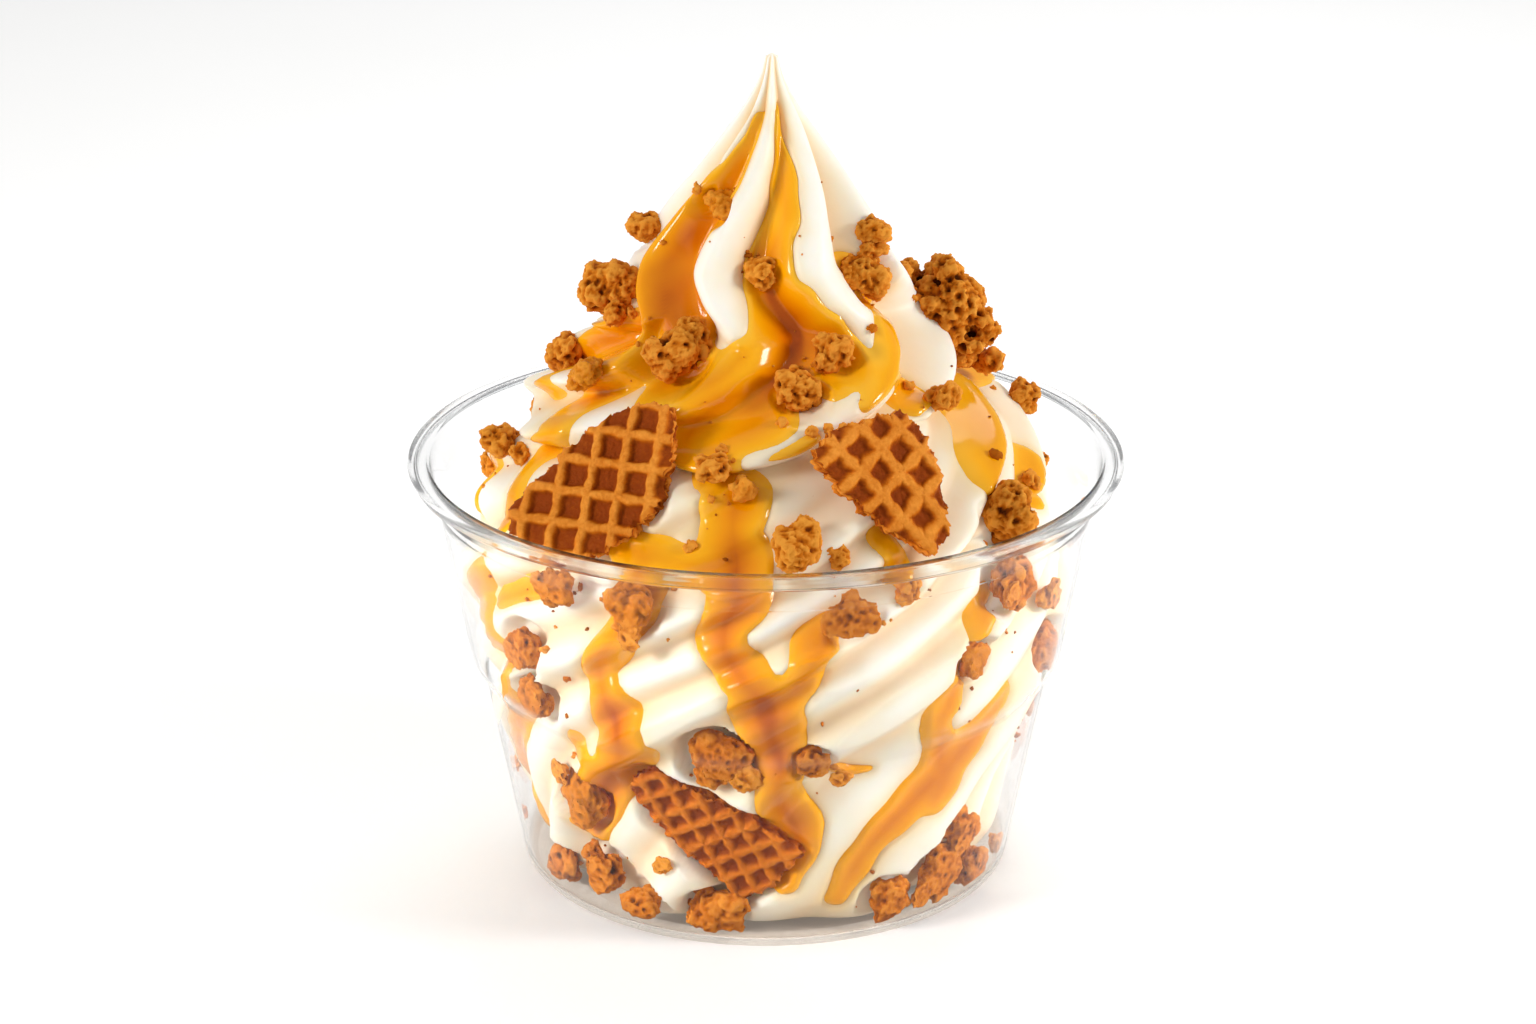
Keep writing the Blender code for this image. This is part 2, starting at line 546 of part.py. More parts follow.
def cup_profile():
    """Outline of the cup wall from the middle of the base, up outside and down inside."""
    outside = [(0.0, 0.0), (BASE_RADIUS, 0.0)]
    corner_end = cup_outside(BASE_CORNER)
    for share in (0.5, 1.0):
        angle = share * np.pi / 2.0
        outside.append((BASE_RADIUS + (corner_end - BASE_RADIUS) * np.sin(angle),
                        BASE_CORNER * (1.0 - np.cos(angle))))
    middle = 0.5 * (STEP_BOTTOM + STEP_TOP)
    for height in (STEP_BOTTOM, middle, STEP_TOP):
        outside.append((cup_outside(height), height))
    outside.append((cup_outside(BEAD_HEIGHT), BEAD_HEIGHT))
    outside.append((cup_outside(BEAD_HEIGHT) + BEAD_DEPTH, BEAD_HEIGHT + BEAD_DEPTH))
    flange_under = RIM_HEIGHT - FLANGE_THICKNESS
    skirt_bottom = RIM_HEIGHT - SKIRT_DEPTH
    rim = [(MOUTH_RADIUS + 0.5, flange_under), (RIM_RADIUS - 1.0, flange_under),
           (RIM_RADIUS - 1.05, skirt_bottom), (RIM_RADIUS - 0.45, skirt_bottom),
           (RIM_RADIUS, RIM_HEIGHT - 0.4), (RIM_RADIUS - 0.4, RIM_HEIGHT),
           (MOUTH_RADIUS, RIM_HEIGHT)]
    inside = [(cup_outside(BEAD_HEIGHT) + BEAD_DEPTH - WALL, BEAD_HEIGHT + BEAD_DEPTH),
              (cup_outside(BEAD_HEIGHT) - WALL, BEAD_HEIGHT)]
    for height in (STEP_TOP, middle, STEP_BOTTOM):
        inside.append((cup_outside(height) - WALL, height))
    inside.append((cup_outside(2.2) - WALL, 2.2))
    inside.append((BASE_RADIUS - 1.0, FLOOR))
    inside.append((0.0, FLOOR))
    return outside + rim + inside


def make_cup():
    vertices, faces = turned_mesh(cup_profile(), CUP_SEGMENTS)
    material = make_material("clear_plastic", (0.95, 0.96, 0.97), 0.05, 1.0)
    return add_object("cup", vertices, faces, material)


def make_cream():
    """Ice cream swirl with its sauce as relief, closed by a point at top and bottom."""
    azimuths = -180.0 + 360.0 * np.arange(CREAM_COLUMNS) / CREAM_COLUMNS
    heights = np.linspace(CREAM_BOTTOM, TIP_HEIGHT - END_DROP, CREAM_ROWS)
    grid_azimuth, grid_height = np.meshgrid(azimuths, heights)
    radius = surface_radius(grid_azimuth, grid_height, CREAM_WALL_GAP)
    points = swirl_point(grid_azimuth, grid_height, radius).reshape(-1, 3)
    tip = (float(swirl_lean(TIP_HEIGHT)), 0.0, TIP_HEIGHT)
    vertices = [(0.0, 0.0, CREAM_BOTTOM - END_DROP), *map(tuple, points), tip]
    last = len(vertices) - 1
    faces = []
    for column in range(CREAM_COLUMNS):
        after = (column + 1) % CREAM_COLUMNS
        faces.append((0, 1 + after, 1 + column))
        faces.append((last, last - CREAM_COLUMNS + column, last - CREAM_COLUMNS + after))
        for row in range(CREAM_ROWS - 1):
            low = 1 + row * CREAM_COLUMNS
            high = low + CREAM_COLUMNS
            faces.append((low + column, low + after, high + after))
            faces.append((low + column, high + after, high + column))
    material = make_material("soft_ice_cream", (0.93, 0.87, 0.76), 0.45)
    return add_object("ice_cream", vertices, faces, material)


def crumb_shape(seed, fine):
    """Craggy lump of radius 1 about the origin, turned at random."""
    work = bmesh.new()
    bmesh.ops.create_icosphere(work, subdivisions=2 if fine else 1, radius=1.0)
    points = np.array([tuple(vertex.co) for vertex in work.verts])
    faces = [tuple(vertex.index for vertex in face.verts) for face in work.faces]
    work.free()
    rng = np.random.default_rng(seed)
    swell = 1.0 + rng.uniform(*CRUMB_SWELL, len(points))
    stretch = 1.0 + rng.uniform(-CRUMB_STRETCH, CRUMB_STRETCH, 3)
    turn = Matrix.Rotation(rng.uniform(0.0, 2.0 * np.pi), 3, Vector(rng.normal(size=3)))
    return points * swell[:, None] * stretch @ np.array(turn), faces


def chunk_turn():
    """Rotation that lays the chunk's long side down the shoulder."""
    lean = Matrix.Rotation(-np.radians(CHUNK_LEAN), 3, "Y")
    turn = Matrix.Rotation(np.radians(CHUNK_PLACE[0] - 90.0), 3, "Z")
    return np.array(turn @ lean)


def pull_behind(points, centre, normal, limit):
    """Shorten points along their rays from the centre so that none passes a plane."""
    reach = points @ normal
    room = limit - centre @ normal
    share = np.where(reach > room, room / np.maximum(reach, 1e-9), 1.0)
    return points * share[:, None]


def nearest_in_waffle(waffle, point):
    """Nearest point of a waffle piece's bounding slab."""
    _, place, look, _, _, _, outline = waffle
    centre, right, up, outward = waffle_frame(place, look)
    low = np.min(outline, axis=0)
    high = np.max(outline, axis=0)
    offset = point - centre
    across = np.clip(offset @ right, low[0], high[0])
    along = np.clip(offset @ up, low[1], high[1])
    out = np.clip(offset @ outward, -0.5 * WAFFLE_THICKNESS, 0.5 * WAFFLE_THICKNESS)
    return centre + across * right + along * up + out * outward


def lump_list():
    """Every lump: name, centre, half sizes, rotation and whether it is finely faceted."""
    lumps = []
    for name, azimuth, height, radius, width in CRUMBS:
        centre = swirl_point(azimuth, height, radius)
        fine = width >= CRUMB_FINE_FROM
        lumps.append(("crumb_" + name, centre, (0.5 * width,) * 3, np.eye(3), fine))
    lumps.append(("wafer_chunk", swirl_point(*CHUNK_PLACE), CHUNK_HALF, chunk_turn(), True))
    return lumps


def clear_of_lumps(points, index, lumps):
    """Hold a lump's points back from the lumps beside it."""
    _, centre, half, _, _ = lumps[index]
    for other, (_, other_centre, other_half, _, _) in enumerate(lumps):
        between = other_centre - centre
        distance = np.linalg.norm(between)
        if other == index or distance > max(half) + max(other_half) + NEIGHBOUR_REACH:
            continue
        normal = between / distance
        share = min(half) / (min(half) + min(other_half))
        limit = centre @ normal + share * distance - CRUMB_CLEARANCE
        points = pull_behind(points, centre, normal, limit)
    return points


def clear_of_waffles(points, centre, half):
    """Hold a lump's points back from the waffle pieces beside it."""
    for waffle in WAFFLES:
        nearest = nearest_in_waffle(waffle, centre)
        between = nearest - centre
        distance = np.linalg.norm(between)
        if 0.0 < distance < max(half) + NEIGHBOUR_REACH:
            normal = between / distance
            points = pull_behind(points, centre, normal, nearest @ normal - GAP)
    return points


def lump_points(index, lumps):
    """Points of one lump, clear of its neighbours, the waffles, the wall and the floor."""
    _, centre, half, turn, fine = lumps[index]
    points, faces = crumb_shape(index + CRUMB_SEED, fine)
    points = points * np.array(half) @ turn.T
    points = clear_of_lumps(points, index, lumps)
    points = clear_of_waffles(points, centre, half)
    down = np.array((0.0, 0.0, -1.0))
    points = pull_behind(points, centre, down, -(FLOOR + CRUMB_FLOOR_GAP))
    for _ in range(WALL_STEPS):
        world = points + centre
        distance = np.hypot(world[:, 0], world[:, 1])
        limit = contents_limit(world[:, 2], CREAM_WALL_GAP)
        points = points * np.where(distance > limit, WALL_SHRINK, 1.0)[:, None]
    return points, faces


def make_crumbs():
    """Crumbs and the pockets that they sit in."""
    material = make_material("biscuit", (0.52, 0.24, 0.07), 0.85)
    cutters = []
    lumps = lump_list()
    for index, (name, centre, _, _, _) in enumerate(lumps):
        points, faces = lump_points(index, lumps)
        add_object(name, points + centre, faces, material, smooth=False)
        reach = np.maximum(np.linalg.norm(points, axis=1), POCKET_GROWTH)
        growth = 1.0 + POCKET_GROWTH / reach
        cutters.append((points * growth[:, None] + centre, faces))
    return cutters


def waffle_slab(outline, growth, reach=0.0):
    """Prism over an outline in the waffle's own plane, reaching further outwards if asked."""
    middle = np.mean(outline, axis=0)
    grown = []
    for point in np.array(outline):
        away = point - middle
        grown.append(middle + away * (1.0 + growth / np.linalg.norm(away)))
    half = 0.5 * WAFFLE_THICKNESS + growth
    count = len(grown)
    vertices = [(x, y, -half) for x, y in grown] + [(x, y, half + reach) for x, y in grown]
    faces = [tuple(reversed(range(count))), tuple(range(count, 2 * count))]
    for step in range(count):
        after = (step + 1) % count
        faces.append((step, after, count + after, count + step))
    return vertices, faces


def waffle_plate(spin, pitch, crossing):
    """Square plate with rows of recessed cells on its upper face, and its middle on a crossing of ribs."""
    count = 2 * int(np.ceil(0.5 * WAFFLE_REACH / pitch))
    work = bmesh.new()
    bmesh.ops.create_grid(work, x_segments=count, y_segments=count, size=0.5 * pitch * count)
    cells = list(work.faces)
    edges = [edge for edge in work.edges if edge.is_boundary]
    border = bmesh.ops.extrude_edge_only(work, edges=edges)
    lowered = [item for item in border["geom"] if isinstance(item, bmesh.types.BMVert)]
    bmesh.ops.translate(work, verts=lowered, vec=(0.0, 0.0, -WAFFLE_THICKNESS))
    rim = [item for item in border["geom"] if isinstance(item, bmesh.types.BMEdge) and item.is_boundary]
    bmesh.ops.contextual_create(work, geom=rim)
    bmesh.ops.inset_individual(work, faces=cells, thickness=0.5 * WAFFLE_RIB_SHARE * pitch, depth=0.0)
    bmesh.ops.inset_individual(work, faces=cells, thickness=WAFFLE_SLOPE, depth=-WAFFLE_RECESS)
    bmesh.ops.translate(work, verts=work.verts, vec=(0.0, 0.0, 0.5 * WAFFLE_THICKNESS))
    bmesh.ops.rotate(work, verts=work.verts, matrix=Matrix.Rotation(np.radians(spin), 3, "Z"))
    bmesh.ops.translate(work, verts=work.verts, vec=(*crossing, 0.0))
    bmesh.ops.scale(work, verts=work.verts, vec=(MM, MM, MM))
    bmesh.ops.recalc_face_normals(work, faces=work.faces)
    mesh = bpy.data.meshes.new("plate")
    work.to_mesh(mesh)
    work.free()
    plate = bpy.data.objects.new("plate", mesh)
    bpy.context.scene.collection.objects.link(plate)
    return plate


def apply_boolean(item, operation, operand=None, collection=None):
    """Boolean on an item, applied at once."""
    modifier = item.modifiers.new("cut", "BOOLEAN")
    modifier.operation = operation
    modifier.solver = "EXACT"
    if collection:
        modifier.operand_type = "COLLECTION"
        modifier.collection = collection
    else:
        modifier.object = operand
    evaluated = item.evaluated_get(bpy.context.evaluated_depsgraph_get())
    mesh = bpy.data.meshes.new_from_object(evaluated)
    item.modifiers.clear()
    item.data = mesh


def world_points(points, frame):
    centre, right, up, outward = frame
    return [centre + x * right + y * up + z * outward for x, y, z in points]


def make_waffles():
    """Waffle pieces and the pockets that they sit in."""
    material = make_material("waffle", (0.58, 0.27, 0.08), 0.7)
    cutters = []
    for name, place, look, spin, pitch, crossing, outline in WAFFLES:
        frame = waffle_frame(place, look)
        vertices, faces = waffle_slab(outline, 0.0)
        piece = waffle_plate(spin, pitch, crossing)
        slab = add_object("slab", vertices, faces, material, smooth=False)
        apply_boolean(piece, "INTERSECT", operand=slab)
        bpy.data.objects.remove(slab, do_unlink=True)
        centre, right, up, outward = frame
        rotation = Matrix((right, up, outward)).transposed().to_4x4()
        piece.data.transform(Matrix.Translation(Vector(centre) * MM) @ rotation)
        piece.name = name
        piece.data.name = name
        piece.data.materials.clear()
        piece.data.materials.append(material)
        grown, grown_faces = waffle_slab(outline, POCKET_GROWTH, POCKET_REACH)
        cutters.append((world_points(grown, frame), grown_faces))
    return cutters


def cut_pockets(cream, cutters):
    """Cut every topping's pocket out of the ice cream in one step."""
    pockets = bpy.data.collections.new("pockets")
    bpy.context.scene.collection.children.link(pockets)
    material = cream.data.materials[0]
    for index, (vertices, faces) in enumerate(cutters):
        cutter = add_object("pocket_%02d" % index, vertices, faces, material, smooth=False)
        bpy.context.scene.collection.objects.unlink(cutter)
        pockets.objects.link(cutter)
    apply_boolean(cream, "DIFFERENCE", collection=pockets)
    for cutter in list(pockets.objects):
        bpy.data.objects.remove(cutter, do_unlink=True)
    bpy.data.collections.remove(pockets)
    cream.data.materials.clear()
    cream.data.materials.append(material)


def main():
    clear_scene()
    make_cup()
    cream = make_cream()
    cutters = make_crumbs()
    cutters += make_waffles()
    cut_pockets(cream, cutters)


main()
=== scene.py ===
"""Looks of the soft serve sundae: fine cream, caramel, biscuit, waffle and clear cup.

The forms repeat the functions of the part's source on a fine grid.
Lengths are millimetres and angles are degrees until a mesh is made.
Azimuth 0 is the front (-Y), and +90 is the right side (+X).
"""

import bmesh
import bpy
import numpy as np
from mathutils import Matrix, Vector, noise
from mathutils.bvhtree import BVHTree


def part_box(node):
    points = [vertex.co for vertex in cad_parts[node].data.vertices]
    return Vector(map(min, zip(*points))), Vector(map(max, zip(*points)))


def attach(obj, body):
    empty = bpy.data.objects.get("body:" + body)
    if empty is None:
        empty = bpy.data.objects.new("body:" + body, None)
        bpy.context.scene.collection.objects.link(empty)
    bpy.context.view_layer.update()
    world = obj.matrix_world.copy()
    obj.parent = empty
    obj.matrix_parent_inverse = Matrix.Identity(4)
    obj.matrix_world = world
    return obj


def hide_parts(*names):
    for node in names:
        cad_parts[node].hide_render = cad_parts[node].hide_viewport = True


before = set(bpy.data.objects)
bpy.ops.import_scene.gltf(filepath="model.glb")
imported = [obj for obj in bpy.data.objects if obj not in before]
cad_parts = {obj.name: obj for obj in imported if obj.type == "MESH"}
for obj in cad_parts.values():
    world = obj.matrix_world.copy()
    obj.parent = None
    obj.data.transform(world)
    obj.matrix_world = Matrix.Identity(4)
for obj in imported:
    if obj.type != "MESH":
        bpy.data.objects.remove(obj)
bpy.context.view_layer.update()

MM = 0.001

# Cup: a turned thin wall with one step, a bead under the rim and a turned-down flange.
RIM_RADIUS = 49.0
RIM_HEIGHT = 59.2
MOUTH_RADIUS = 46.1
SKIRT_DEPTH = 1.7
FLANGE_THICKNESS = 0.6
WALL = 0.6
FLOOR = 0.8
BASE_RADIUS = 32.6
BASE_CORNER = 1.6
LOWER_WALL = (34.0, 0.19)
UPPER_WALL = (35.76, 0.1746)
STEP_BOTTOM = 28.0
STEP_TOP = 32.0
BEAD_HEIGHT = 53.4
BEAD_DEPTH = 0.35
BEAD_SHARES = (0.35, 0.7, 1.0)
# How far in the foot's ring and the recess under the base start, and the depth of the recess.
FOOT_RING = 3.2
RECESS_START = 4.0
RECESS_DEPTH = 0.25
# How far in the inner corner and the flat floor start, and the height where the corner ends.
INNER_START = 1.0
FLOOR_START = 3.6
INNER_CORNER = 2.2
# Rounding at the rim, across and down: at the mouth, under it, under the flange, and outside.
MOUTH_ROUND = (0.3, 0.2)
UNDER_MOUTH = (0.2, 0.3)
UNDER_ROUND = 0.25
RIM_ROUND = 0.6
# Skirt: the distance of its inner face from the rim's edge, its rounding, and where the face ends.
SKIRT_INSIDE = 1.05
SKIRT_ROUND = 0.3
SKIRT_END = 0.2
# First height and spacing of the rows below the step, and the rows on the step and above it.
LOWER_ROWS = (3.0, 2.5)
STEP_ROWS = 11
UPPER_ROWS = 13
ARC_ROWS = 6
CUP_SEGMENTS = 160
SHARP_ANGLE = 50.0
# Margin of the flange's colouring, and how high the painted shadow at the foot reaches, in corner heights.
FLANGE_MARGIN = 0.1
FOOT_SHADOW_REACH = 0.6

# Ice cream: a rope of ridged cream coiled downwards to the left.
TIP_HEIGHT = 114.7
CREAM_BOTTOM = 1.9
COIL_PITCH = 13.6
FIRST_CREASE = 80.6
RIDGES = 8
RIDGE_ANGLE = 360.0 / RIDGES
CREAM_COLUMNS = 384
CREAM_ROWS = 254
END_DROP = 0.5
# How far cream, sauce and toppings stay off the wall's inside; below zero they press into it.
INTO_WALL = -0.1
SAUCE_INTO_WALL = -0.3
CREAM_WALL_GAP = 0.5
TOPPING_GAP = 0.06
FLOOR_GAP = 0.05
# Over the floor the contents draw in: how far, and below which height.
DRAWN_IN = (2.0, 3.0)
# Height over the rim where the cup no longer holds the contents, and the limit from there on.
FREE_ABOVE = 2.0
NO_LIMIT = 1000.0
# Least radius of the cream, of the sauce's underside, and of the core for lengths round the axis.
THINNEST = 0.35
THINNEST_UNDER = 0.1
THINNEST_CORE = 3.0

CORE = ((1.9, 28.4), (6.0, 31.6), (12.0, 33.2), (19.0, 34.6), (26.0, 36.6), (34.0, 39.8),
        (42.0, 41.0), (48.0, 39.8), (54.0, 36.6), (60.0, 30.6), (64.0, 27.4), (68.0, 23.2),
        (71.0, 20.2), (77.0, 18.0), (81.5, 17.2), (85.0, 15.9), (90.0, 13.4), (95.0, 10.6),
        (100.0, 7.6), (104.0, 5.3), (108.0, 3.0), (112.0, 1.3), (114.7, 0.7))
BULGE = ((0.0, 0.2), (44.0, 0.4), (49.0, 1.0), (53.0, 2.4), (58.0, 4.6), (66.0, 6.6), (73.0, 5.6),
         (77.0, 3.4), (80.0, 1.0), (82.0, 0.0))
LEAN = ((0.0, 0.0), (56.0, 0.0), (64.0, -1.0), (74.0, -0.6), (84.0, 0.0), (114.7, 0.8))
RIDGE_DEPTH = ((0.0, 3.2), (44.0, 3.4), (58.0, 3.6), (66.0, 4.2), (72.0, 5.2), (80.0, 6.2),
               (87.0, 6.4), (93.0, 5.6), (99.0, 3.9), (104.0, 2.4), (108.0, 1.2), (111.0, 0.5),
               (114.7, 0.1))
TWIST = ((0.0, -210.0), (12.0, -196.0), (25.0, -178.0), (38.0, -152.0), (47.0, -129.0),
         (57.0, -99.0), (66.6, -63.0), (70.6, -43.0), (72.6, -29.0), (75.6, -17.0), (78.0, -9.0),
         (80.0, -7.0), (82.0, -12.0), (85.0, -22.0), (89.0, -30.0), (93.8, -26.0), (98.7, -16.0),
         (103.4, -7.0), (108.0, 3.0), (114.7, 8.0))
# The ridges are unevenly spaced: widest at the front right.
UNEVEN_SHIFT = 7.0
UNEVEN_SWING = 8.0
# Share of the middle groove that splits each ridge in two lower down.
SPLIT = ((0.0, 0.7), (52.0, 0.9), (62.0, 0.6), (70.0, 0.0))
SPLIT_LOSS = 0.6
SPLIT_DEPTH = 0.75
# Roundness of a ridge, and the share of its depth that lies under the mean surface.
RIDGE_ROUND = 0.8
RIDGE_MEAN = 0.55
# Outline of a coil: its powers towards the upper and the lower crease, and its greatest value.
COIL_UPPER = 0.35
COIL_LOWER = 0.22
COIL_PEAK = 0.665
# Slow swelling: size, waves round the axis, turn for each millimetre of height, and start.
SWELLS = ((0.45, 2.0, 0.13, 1.0), (0.35, 3.0, -0.19, 2.1), (0.25, 5.0, 0.31, 0.4))
SWELL_FULL_RADIUS = 20.0

# Sauce: its thickness, its depth beside and under a stream, and how full it leaves the grooves.
SAUCE_FILM = 0.4
SAUCE_DIP = 0.8
SAUCE_SINK = 0.8
GROOVE_FILL = 0.42
STREAM_STEPS = 4
STREAM_JOIN = 0.6
STREAM_SOFT = (0.7, 1.3)
# Pull of the grooves on a stream's edge, and the share of groove where it turns to a push.
STREAM_PULL = (0.8, 0.4)
# Distance from a stream's edge beyond which nothing changes.
STREAM_FAR = 8.0
# Wandering of a stream's edge: size, turn for each degree and for each millimetre, and start.
STREAM_WANDER = ((0.16, 0.21, 0.9, 0.0), (0.14, 0.37, -0.6, 2.0))
# Reach from a stream's edge of the sauce's stain on the cream, which also paints shade beside the streams.
STAIN_AND_SHADE_REACH = 3.0
# How far the sauce's underside lies in the cream, and the least share of sauce in its mesh.
SAUCE_UNDER = 0.3
SAUCE_CUT = 0.08
# Depth of colour of the thinnest sauce, inside the cup and above it, and the heights between.
SAUCE_TONE = (0.22, 0.03)
SAUCE_TONE_HEIGHTS = (50.0, 62.0)
# What a millimetre from the stream's edge, and one of thickness, add to the depth of colour.
SAUCE_DEPTH = (0.19, 0.30)
# Sauce streams that the photograph shows: its column and row, and the half width, of each bend.
SEEN_STREAMS = (
    ((757, 118, 0.4), (745, 150, 1.0), (730, 178, 2.3), (714, 205, 3.2), (692, 235, 4.0),
     (672, 262, 4.0), (668, 292, 4.2), (667, 318, 4.2), (663, 340, 3.6)),
    ((645, 325, 2.2), (615, 336, 2.8), (592, 350, 2.4), (566, 366, 2.0), (545, 385, 1.4)),
    ((612, 340, 2.1), (612, 362, 2.6), (600, 385, 2.6), (572, 408, 1.8), (556, 430, 1.8),
     (549, 450, 1.2)),
    ((655, 388, 1.5), (690, 386, 2.3), (722, 376, 2.6), (742, 356, 2.0)),
    ((776, 112, 0.3), (780, 150, 0.8), (783, 185, 1.5), (784, 212, 1.6), (776, 240, 2.0),
     (768, 264, 3.2), (772, 290, 3.8), (782, 313, 4.8), (792, 333, 5.2), (790, 352, 4.6)),
    ((818, 338, 3.4), (835, 352, 3.2), (828, 372, 2.4)),
    ((788, 368, 3.4), (757, 385, 3.6), (725, 400, 3.6), (705, 415, 3.0), (691, 432, 2.4),
     (686, 455, 1.8)),
    ((790, 395, 2.4), (762, 418, 2.4), (735, 433, 2.2), (712, 445, 1.8)),
    ((845, 264, 1.2), (868, 290, 1.8), (883, 318, 2.1), (891, 342, 2.1), (891, 366, 1.8),
     (880, 390, 1.6), (868, 405, 1.0)),
    ((893, 370, 0.4), (904, 390, 1.3), (912, 408, 1.2)),
    ((1004, 368, 1.6), (985, 364, 2.2), (968, 366, 1.8)),
    ((966, 374, 1.3), (975, 390, 1.5), (984, 412, 1.4), (989, 436, 1.7), (991, 462, 1.7),
     (992, 484, 1.6)),
    ((1028, 455, 1.2), (1034, 474, 1.5), (1030, 496, 1.4)),
    ((498, 462, 1.6), (480, 478, 1.8), (474, 500, 1.8)),
    ((532, 466, 1.4), (514, 496, 1.8), (508, 522, 1.8)),
    ((714, 470, 2.6), (733, 488, 2.0), (735, 505, 3.6), (733, 530, 3.2), (735, 555, 3.9),
     (736, 580, 4.2), (738, 600, 3.8), (726, 622, 3.2), (724, 645, 3.3), (735, 665, 3.0),
     (752, 688, 3.4), (767, 710, 4.6), (769, 735, 4.3), (780, 760, 3.8), (777, 785, 3.0),
     (784, 808, 3.4), (797, 830, 3.6), (800, 852, 2.6), (785, 880, 2.2)),
    ((830, 636, 1.8), (812, 660, 2.4), (797, 685, 2.2), (785, 705, 2.0)),
    ((622, 548, 1.6), (650, 556, 1.8), (682, 562, 1.8), (712, 565, 2.0)),
    ((640, 572, 2.0), (640, 600, 2.9), (622, 630, 2.6), (603, 655, 2.2), (600, 672, 2.2),
     (606, 695, 3.0), (618, 718, 3.8), (622, 742, 3.8), (615, 768, 3.2), (600, 795, 3.8),
     (596, 820, 3.2)),
    ((480, 565, 1.7), (484, 595, 1.8), (490, 622, 1.6), (497, 645, 0.8)),
    ((505, 598, 1.2), (525, 592, 1.4), (545, 588, 1.1)),
    ((500, 640, 1.2), (508, 670, 1.4), (516, 700, 1.5), (524, 730, 1.5), (528, 765, 1.5),
     (532, 795, 1.3), (538, 822, 0.8)),
    ((574, 735, 0.9), (582, 748, 0.9), (592, 762, 0.6)),
    ((990, 598, 1.4), (982, 620, 1.2), (968, 660, 1.5), (948, 700, 1.8), (938, 725, 2.2),
     (938, 750, 2.6), (940, 775, 2.6), (932, 800, 2.0)),
    ((1002, 690, 1.2), (990, 708, 1.5), (978, 726, 1.8), (962, 746, 2.3), (945, 768, 2.6)),
    ((930, 780, 2.6), (905, 805, 2.4), (880, 830, 2.1), (862, 852, 1.9), (848, 875, 1.7),
     (836, 897, 1.0)),
    ((833, 766, 0.4), (848, 770, 0.4), (870, 768, 0.3)),
    ((886, 545, 1.3), (895, 560, 1.4), (905, 580, 1.6)),
    ((770, 460, 0.4), (795, 452, 0.6), (815, 440, 1.0)),
)
# Streams on the far side: azimuth, height and half width of each bend.
FAR_STREAMS = (
    ((150, 92, 2.2), (140, 84, 2.8), (150, 76, 2.4), (145, 68, 2.6), (130, 60, 1.8)),
    ((-150, 88, 2.2), (-140, 80, 3.0), (-150, 70, 2.8), (-140, 60, 2.6), (-150, 50, 3.0),
     (-165, 36, 3.2), (-170, 22, 2.2)),
    ((120, 52, 1.8), (110, 42, 2.6), (105, 30, 2.8), (112, 18, 1.8)),
    ((170, 62, 2.0), (160, 50, 2.8), (150, 38, 3.0), (155, 26, 2.6), (145, 14, 1.8)),
)

# Crumbs: a core with lobes, covered in small knobs and pitted.
CRUMB_SHRINK = 0.95
PRESSED_BELOW = RIM_HEIGHT - 6.0
# How flat the wall presses a crumb, how far that spreads it, how far the outermost knobs are
# flattened, and how much darker painted shade makes a crumb or waffle piece inside the cup.
PRESSED = 0.72
SPREAD = 1.16
TOUCHING = 0.95
IN_CUP_PAINTED_SHADE = 0.76
# Share by which a lump that would sink into the floor is lifted before it is flattened there.
LIFTED = 0.85
# Hollows round the crumbs: their reach, their slope and how far they pass the crumb's middle.
HOLLOW = (1.0, 0.30, 0.10)
HOLLOW_IN_CUP = (1.18, 0.28, 0.10)
VOXEL = 0.31
VOXEL_FAR = 0.42
VOXEL_SMALL = 0.24
# A lump's lobes: their number, and their least and greatest size against the lump's.
LOBES = (9, 0.28, 0.46)
CHUNK_LOBES = (60, 0.16, 0.30)
SMALL_LOBES = (6, 0.30, 0.48)
# Knobs in millimetres, how closely they cover a lump, and how far out lobes and knobs may stand.
KNOB = (0.32, 0.78)
KNOB_COVER = 1.2
LOBE_OUT = (0.96, 1.10)
KNOB_OUT = 1.13
KNOB_SUNK = 0.6
# Size of the knobs on the smallest lump, and what a millimetre of the lump's size adds, up to 1.
KNOB_SHARE = (0.45, 0.16)
# Reach of a lump where no surface is met, as a share of its box's diagonal.
USUAL_REACH = 0.25
# Pits: number in a millimetre, width and depth.
PIT = (0.60, 0.36, 0.55)
CHUNK_PIT = (0.48, 0.44, 1.2)
# Crags: number in a millimetre and height, and how far they lie over the mean surface.
CRAGS = ((1.0, 0.66), (2.4, 0.42))
CRAG_LIFT = 0.25
# Steps that soften a lump, and that give the mean surface for its relief.
SOFTENED = 1
MEAN_STEPS = 12
# Relief that colours a lump with painted light and shade: on the mean surface, for a millimetre out, for
# crags and for pits.
LUMP_LIGHT_AND_SHADE = (0.6, 2.2, 1.4, 0.85)
# First random seeds of the crumbs, the chunk and the small crumbs, and the two of the dust.
CRUMB_SEED = 60
CHUNK_SEED = 200
SMALL_SEED = 300
DUST_SEEDS = (41, 43)
# How much sauce wets a crumb, where it is not the usual little.
USUAL_GLAZE = 0.12
SMALL_GLAZE = 0.2
GLAZED = {"crumb_e": 1.0, "crumb_f": 0.8, "crumb_y": 0.8, "crumb_cc": 0.8, "crumb_u": 0.4,
          "crumb_ll": 0.4, "crumb_h": 0.3, "crumb_p": 0.3, "crumb_v": 0.5, "crumb_z": 0.3,
          "crumb_mm": 0.6}
